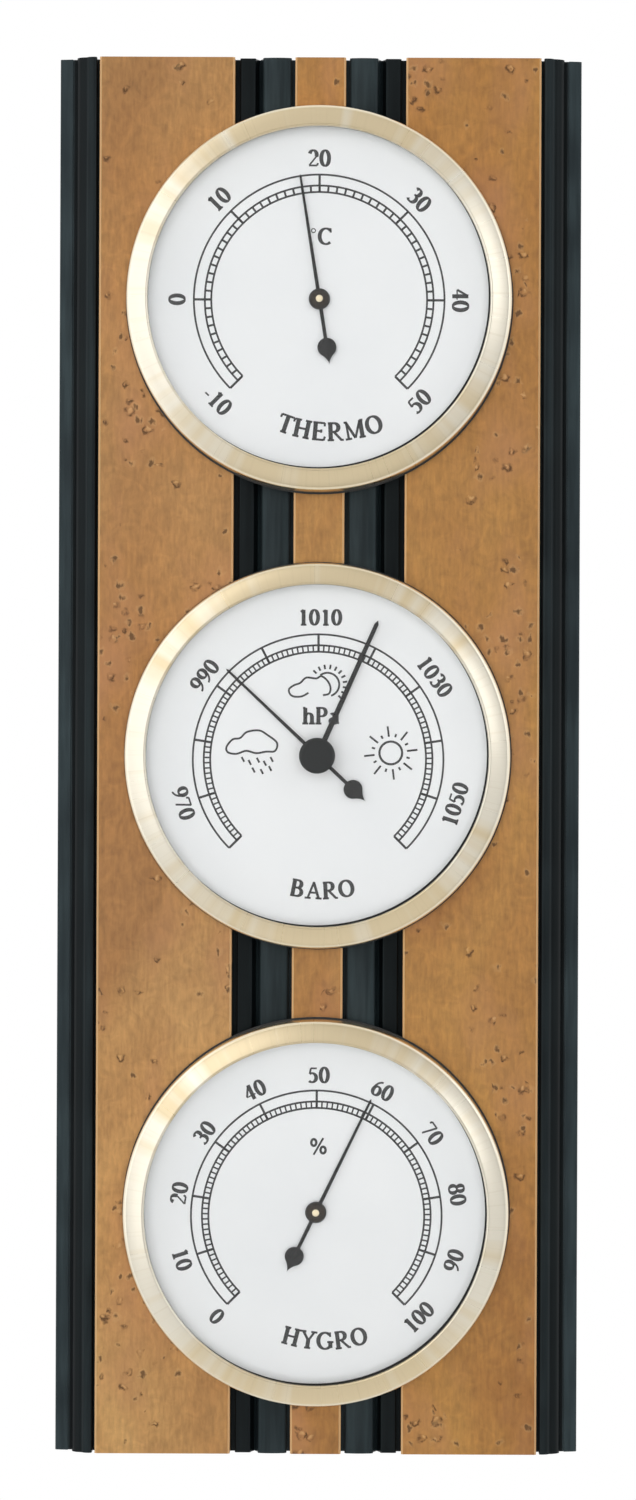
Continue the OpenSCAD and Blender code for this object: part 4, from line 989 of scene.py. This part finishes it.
def spun_brass(name, centre_z):
    """Pale brass, spun, brushed from the centre outwards and lacquered: straw coloured, with fine rays.
    Painted reflections pale it in broad wedges round the ring, palest towards the left and right, and a
    painted highlight brightens the lip."""
    # pale is the colour of the painted reflections, and lip that of the painted highlight on the lip
    pale, straw, shadow, lip = "#E8E1D0", "#DCCAA6", "#BBAA86", "#FFF6DE"
    painted_reflection_way, lobe_share = math.radians(83), 0.28
    material, shader, add = new_finish(name, {"Metallic": 1.0, "Coat Weight": 0.35, "Coat Roughness": 0.12})
    centred = add("Mapping", {"Vector": add("TexCoord").outputs["Object"], "Location": (0, 0, -centre_z),
                              "Scale": (1, 0, 1)})
    split = add("SeparateXYZ", centred)
    angle = add("Math", split.outputs["X"], split.outputs["Z"], operation="ARCTAN2")
    seeded = add("Math", angle, 40 * centre_z, operation="ADD")
    # Broad wedges of painted reflection round the ring, and fine brushed rays
    painted_reflection_sectors, rays_fine = [
        add("TexNoise", {"W": seeded, "Scale": count, "Detail": detail, "Roughness": 0.7},
            noise_dimensions="1D") for count, detail in ((4.5, 2), (42, 3))]
    # Painted reflection, palest towards the left and right
    doubled = add("Math", angle, 2, -2 * painted_reflection_way, operation="MULTIPLY_ADD")
    painted_reflection_lobe = add("Math", doubled, operation="COSINE")
    painted_reflection_tone = add("Math", painted_reflection_lobe, lobe_share, painted_reflection_sectors, operation="MULTIPLY_ADD")
    broad = add("MapRange", painted_reflection_tone, 0.32, 0.68)
    fine = add("MapRange", rays_fine, 0.55, 0.75, 0, 0.16)
    radius = add("VectorMath", centred, operation="LENGTH")
    # A painted highlight all along the lip
    painted_lip_highlight = add("MapRange", radius, 49.9 * MM, 50.4 * MM, 0, 0.8)
    base = layered(add, straw, (broad, pale), (fine, shadow), (painted_lip_highlight, lip))
    sheen = add("MapRange", rays_fine, 0, 1, 0.22, 0.4)
    bump = add("Bump", {"Height": rays_fine, "Strength": 0.25, "Distance": 0.02 * MM})
    feed(shader, {"Base Color": base, "Roughness": sheen, "Normal": bump})
    return material


skin = bezel_section()
for dial in dials:
    brass = spun_brass(f"spun_brass_{dial}", dial_z[dial])
    turned(f"{dial}_spun_bezel", lambda angle: skin, 256, dial, brass, "case", "bezel_brass",
           f"{dial}_bezel")


# The studio: a pale floor below the board, soft light from the front and from the left, a
# weaker one from the right, a lamp for the back, and white wherever the eye looks past.
middle = Vector((0, front_y, (top_z + bottom_z) / 2))
WHITE = (1, 1, 1, 1)


def pale_floor():
    """A pale disc below the board, which takes its shadow."""
    radius, drop, sides = 1.1, 0.25, 96
    corners = [(x, y, bottom_z - drop) for x, y in arc(0, 0, radius, radius, 0, 360, sides)[:sides]]
    mesh = bpy.data.meshes.new("floor")
    mesh.from_pydata(corners, [], [tuple(range(sides))])
    material, shader, add = new_finish("pale_floor", {"Base Color": linear("#CDCDCA"), "Roughness": 0.8})
    path = add("LightPath").outputs
    white = add("Emission", {"Color": WHITE, "Strength": 1})
    looked_at = add("Math", path["Is Camera Ray"], path["Is Glossy Ray"], operation="MAXIMUM")
    seen = add("Math", looked_at, 0.7, operation="MULTIPLY")
    mix = add("MixShader", seen, shader, white)
    feed(material.node_tree.nodes["Material Output"], {"Surface": mix})
    mesh.materials.append(material)
    put_in_scene("floor", mesh)


def studio_world():
    """White where the camera sees it, also through glass. As a light it is brightest round the
    camera, like a large screen, and weak elsewhere. In a mirroring surface the wall behind the
    board is bright, the walls beside it are dimmer, and the room's end at the camera is darkest."""
    world = bpy.data.worlds.new("studio")
    bpy.context.scene.world = world
    world.use_nodes = True
    world.node_tree.nodes.clear()
    add = partial(add_node, world.node_tree)
    path = add("LightPath").outputs
    depth = add("SeparateXYZ", add("TexCoord").outputs["Generated"]).outputs["Y"]
    walls, dim_end, screen, behind = [
        add("MapRange", depth, *ramp, interpolation_type=course) for ramp, course in (
            ((-0.6, -0.1, 0.78, 1), "SMOOTHSTEP"), ((-1, -0.78, 0.42, 1), "SMOOTHSTEP"),
            ((-1, -0.9, 6.3, 0.3), "SMOOTHSTEP"), ((-0.2, 0.6, 0, 0.6), "LINEAR"))]
    level = add("Math", walls, dim_end, operation="MULTIPLY")
    lamp_level = add("Math", screen, behind, operation="ADD")
    soft, mirrored, white = [
        add("Background", {"Color": colour, "Strength": strength})
        for colour, strength in ((linear("#F6F7F8"), lamp_level), (WHITE, level), (WHITE, 1))]
    lit = add("MixShader", path["Is Glossy Ray"], soft, mirrored)
    seen = add("Math", path["Is Camera Ray"], path["Is Transmission Ray"], operation="MAXIMUM")
    add("OutputWorld", {"Surface": add("MixShader", seen, lit, white)})


def soft_light(name, place, width, height, watts):
    """A soft box that faces the middle of the board, at a place given from that middle."""
    lamp = bpy.data.lights.new(name, "AREA")
    lamp.shape = "RECTANGLE"
    lamp.size, lamp.size_y = width, height
    lamp.energy = watts
    light = put_in_scene(name, lamp)
    light.location = middle + Vector(place)
    light.rotation_euler = (middle - light.location).to_track_quat("-Z", "Y").to_euler()


def station_camera():
    """Straight in front, a little to the right of the middle, with the frame shifted back."""
    distance, aside, rise = 1.1, 24 * MM, 1.6 * MM
    tilt = math.radians(-0.23)
    photo_height, photo_mm_per_px = 1500, 0.2649
    camera_data = bpy.data.cameras.new("camera")
    camera_data.sensor_fit = "VERTICAL"
    camera_data.sensor_height = 36
    seen_height = photo_height * photo_mm_per_px * MM
    camera_data.lens = camera_data.sensor_height * distance / seen_height
    camera_data.shift_x = -aside / seen_height
    camera = put_in_scene("camera", camera_data)
    camera.location = (aside, middle.y - distance, middle.z + rise)
    camera.rotation_euler = (math.radians(90), tilt, 0)
    bpy.context.scene.camera = camera


pale_floor()
studio_world()
soft_light("key_light", (-0.47, -1.15, 0.3), 0.5, 1.0, 1.5)
soft_light("left_light", (-1.25, -1.0, 0.35), 0.8, 2.0, 3.5)
soft_light("right_light", (1.1, -1.0, 0.45), 0.6, 0.8, 1.4)
soft_light("back_light", (0.5, 1.4, 0.8), 1.0, 1.0, 6)
station_camera()
bpy.context.scene.view_settings.view_transform = "Standard"
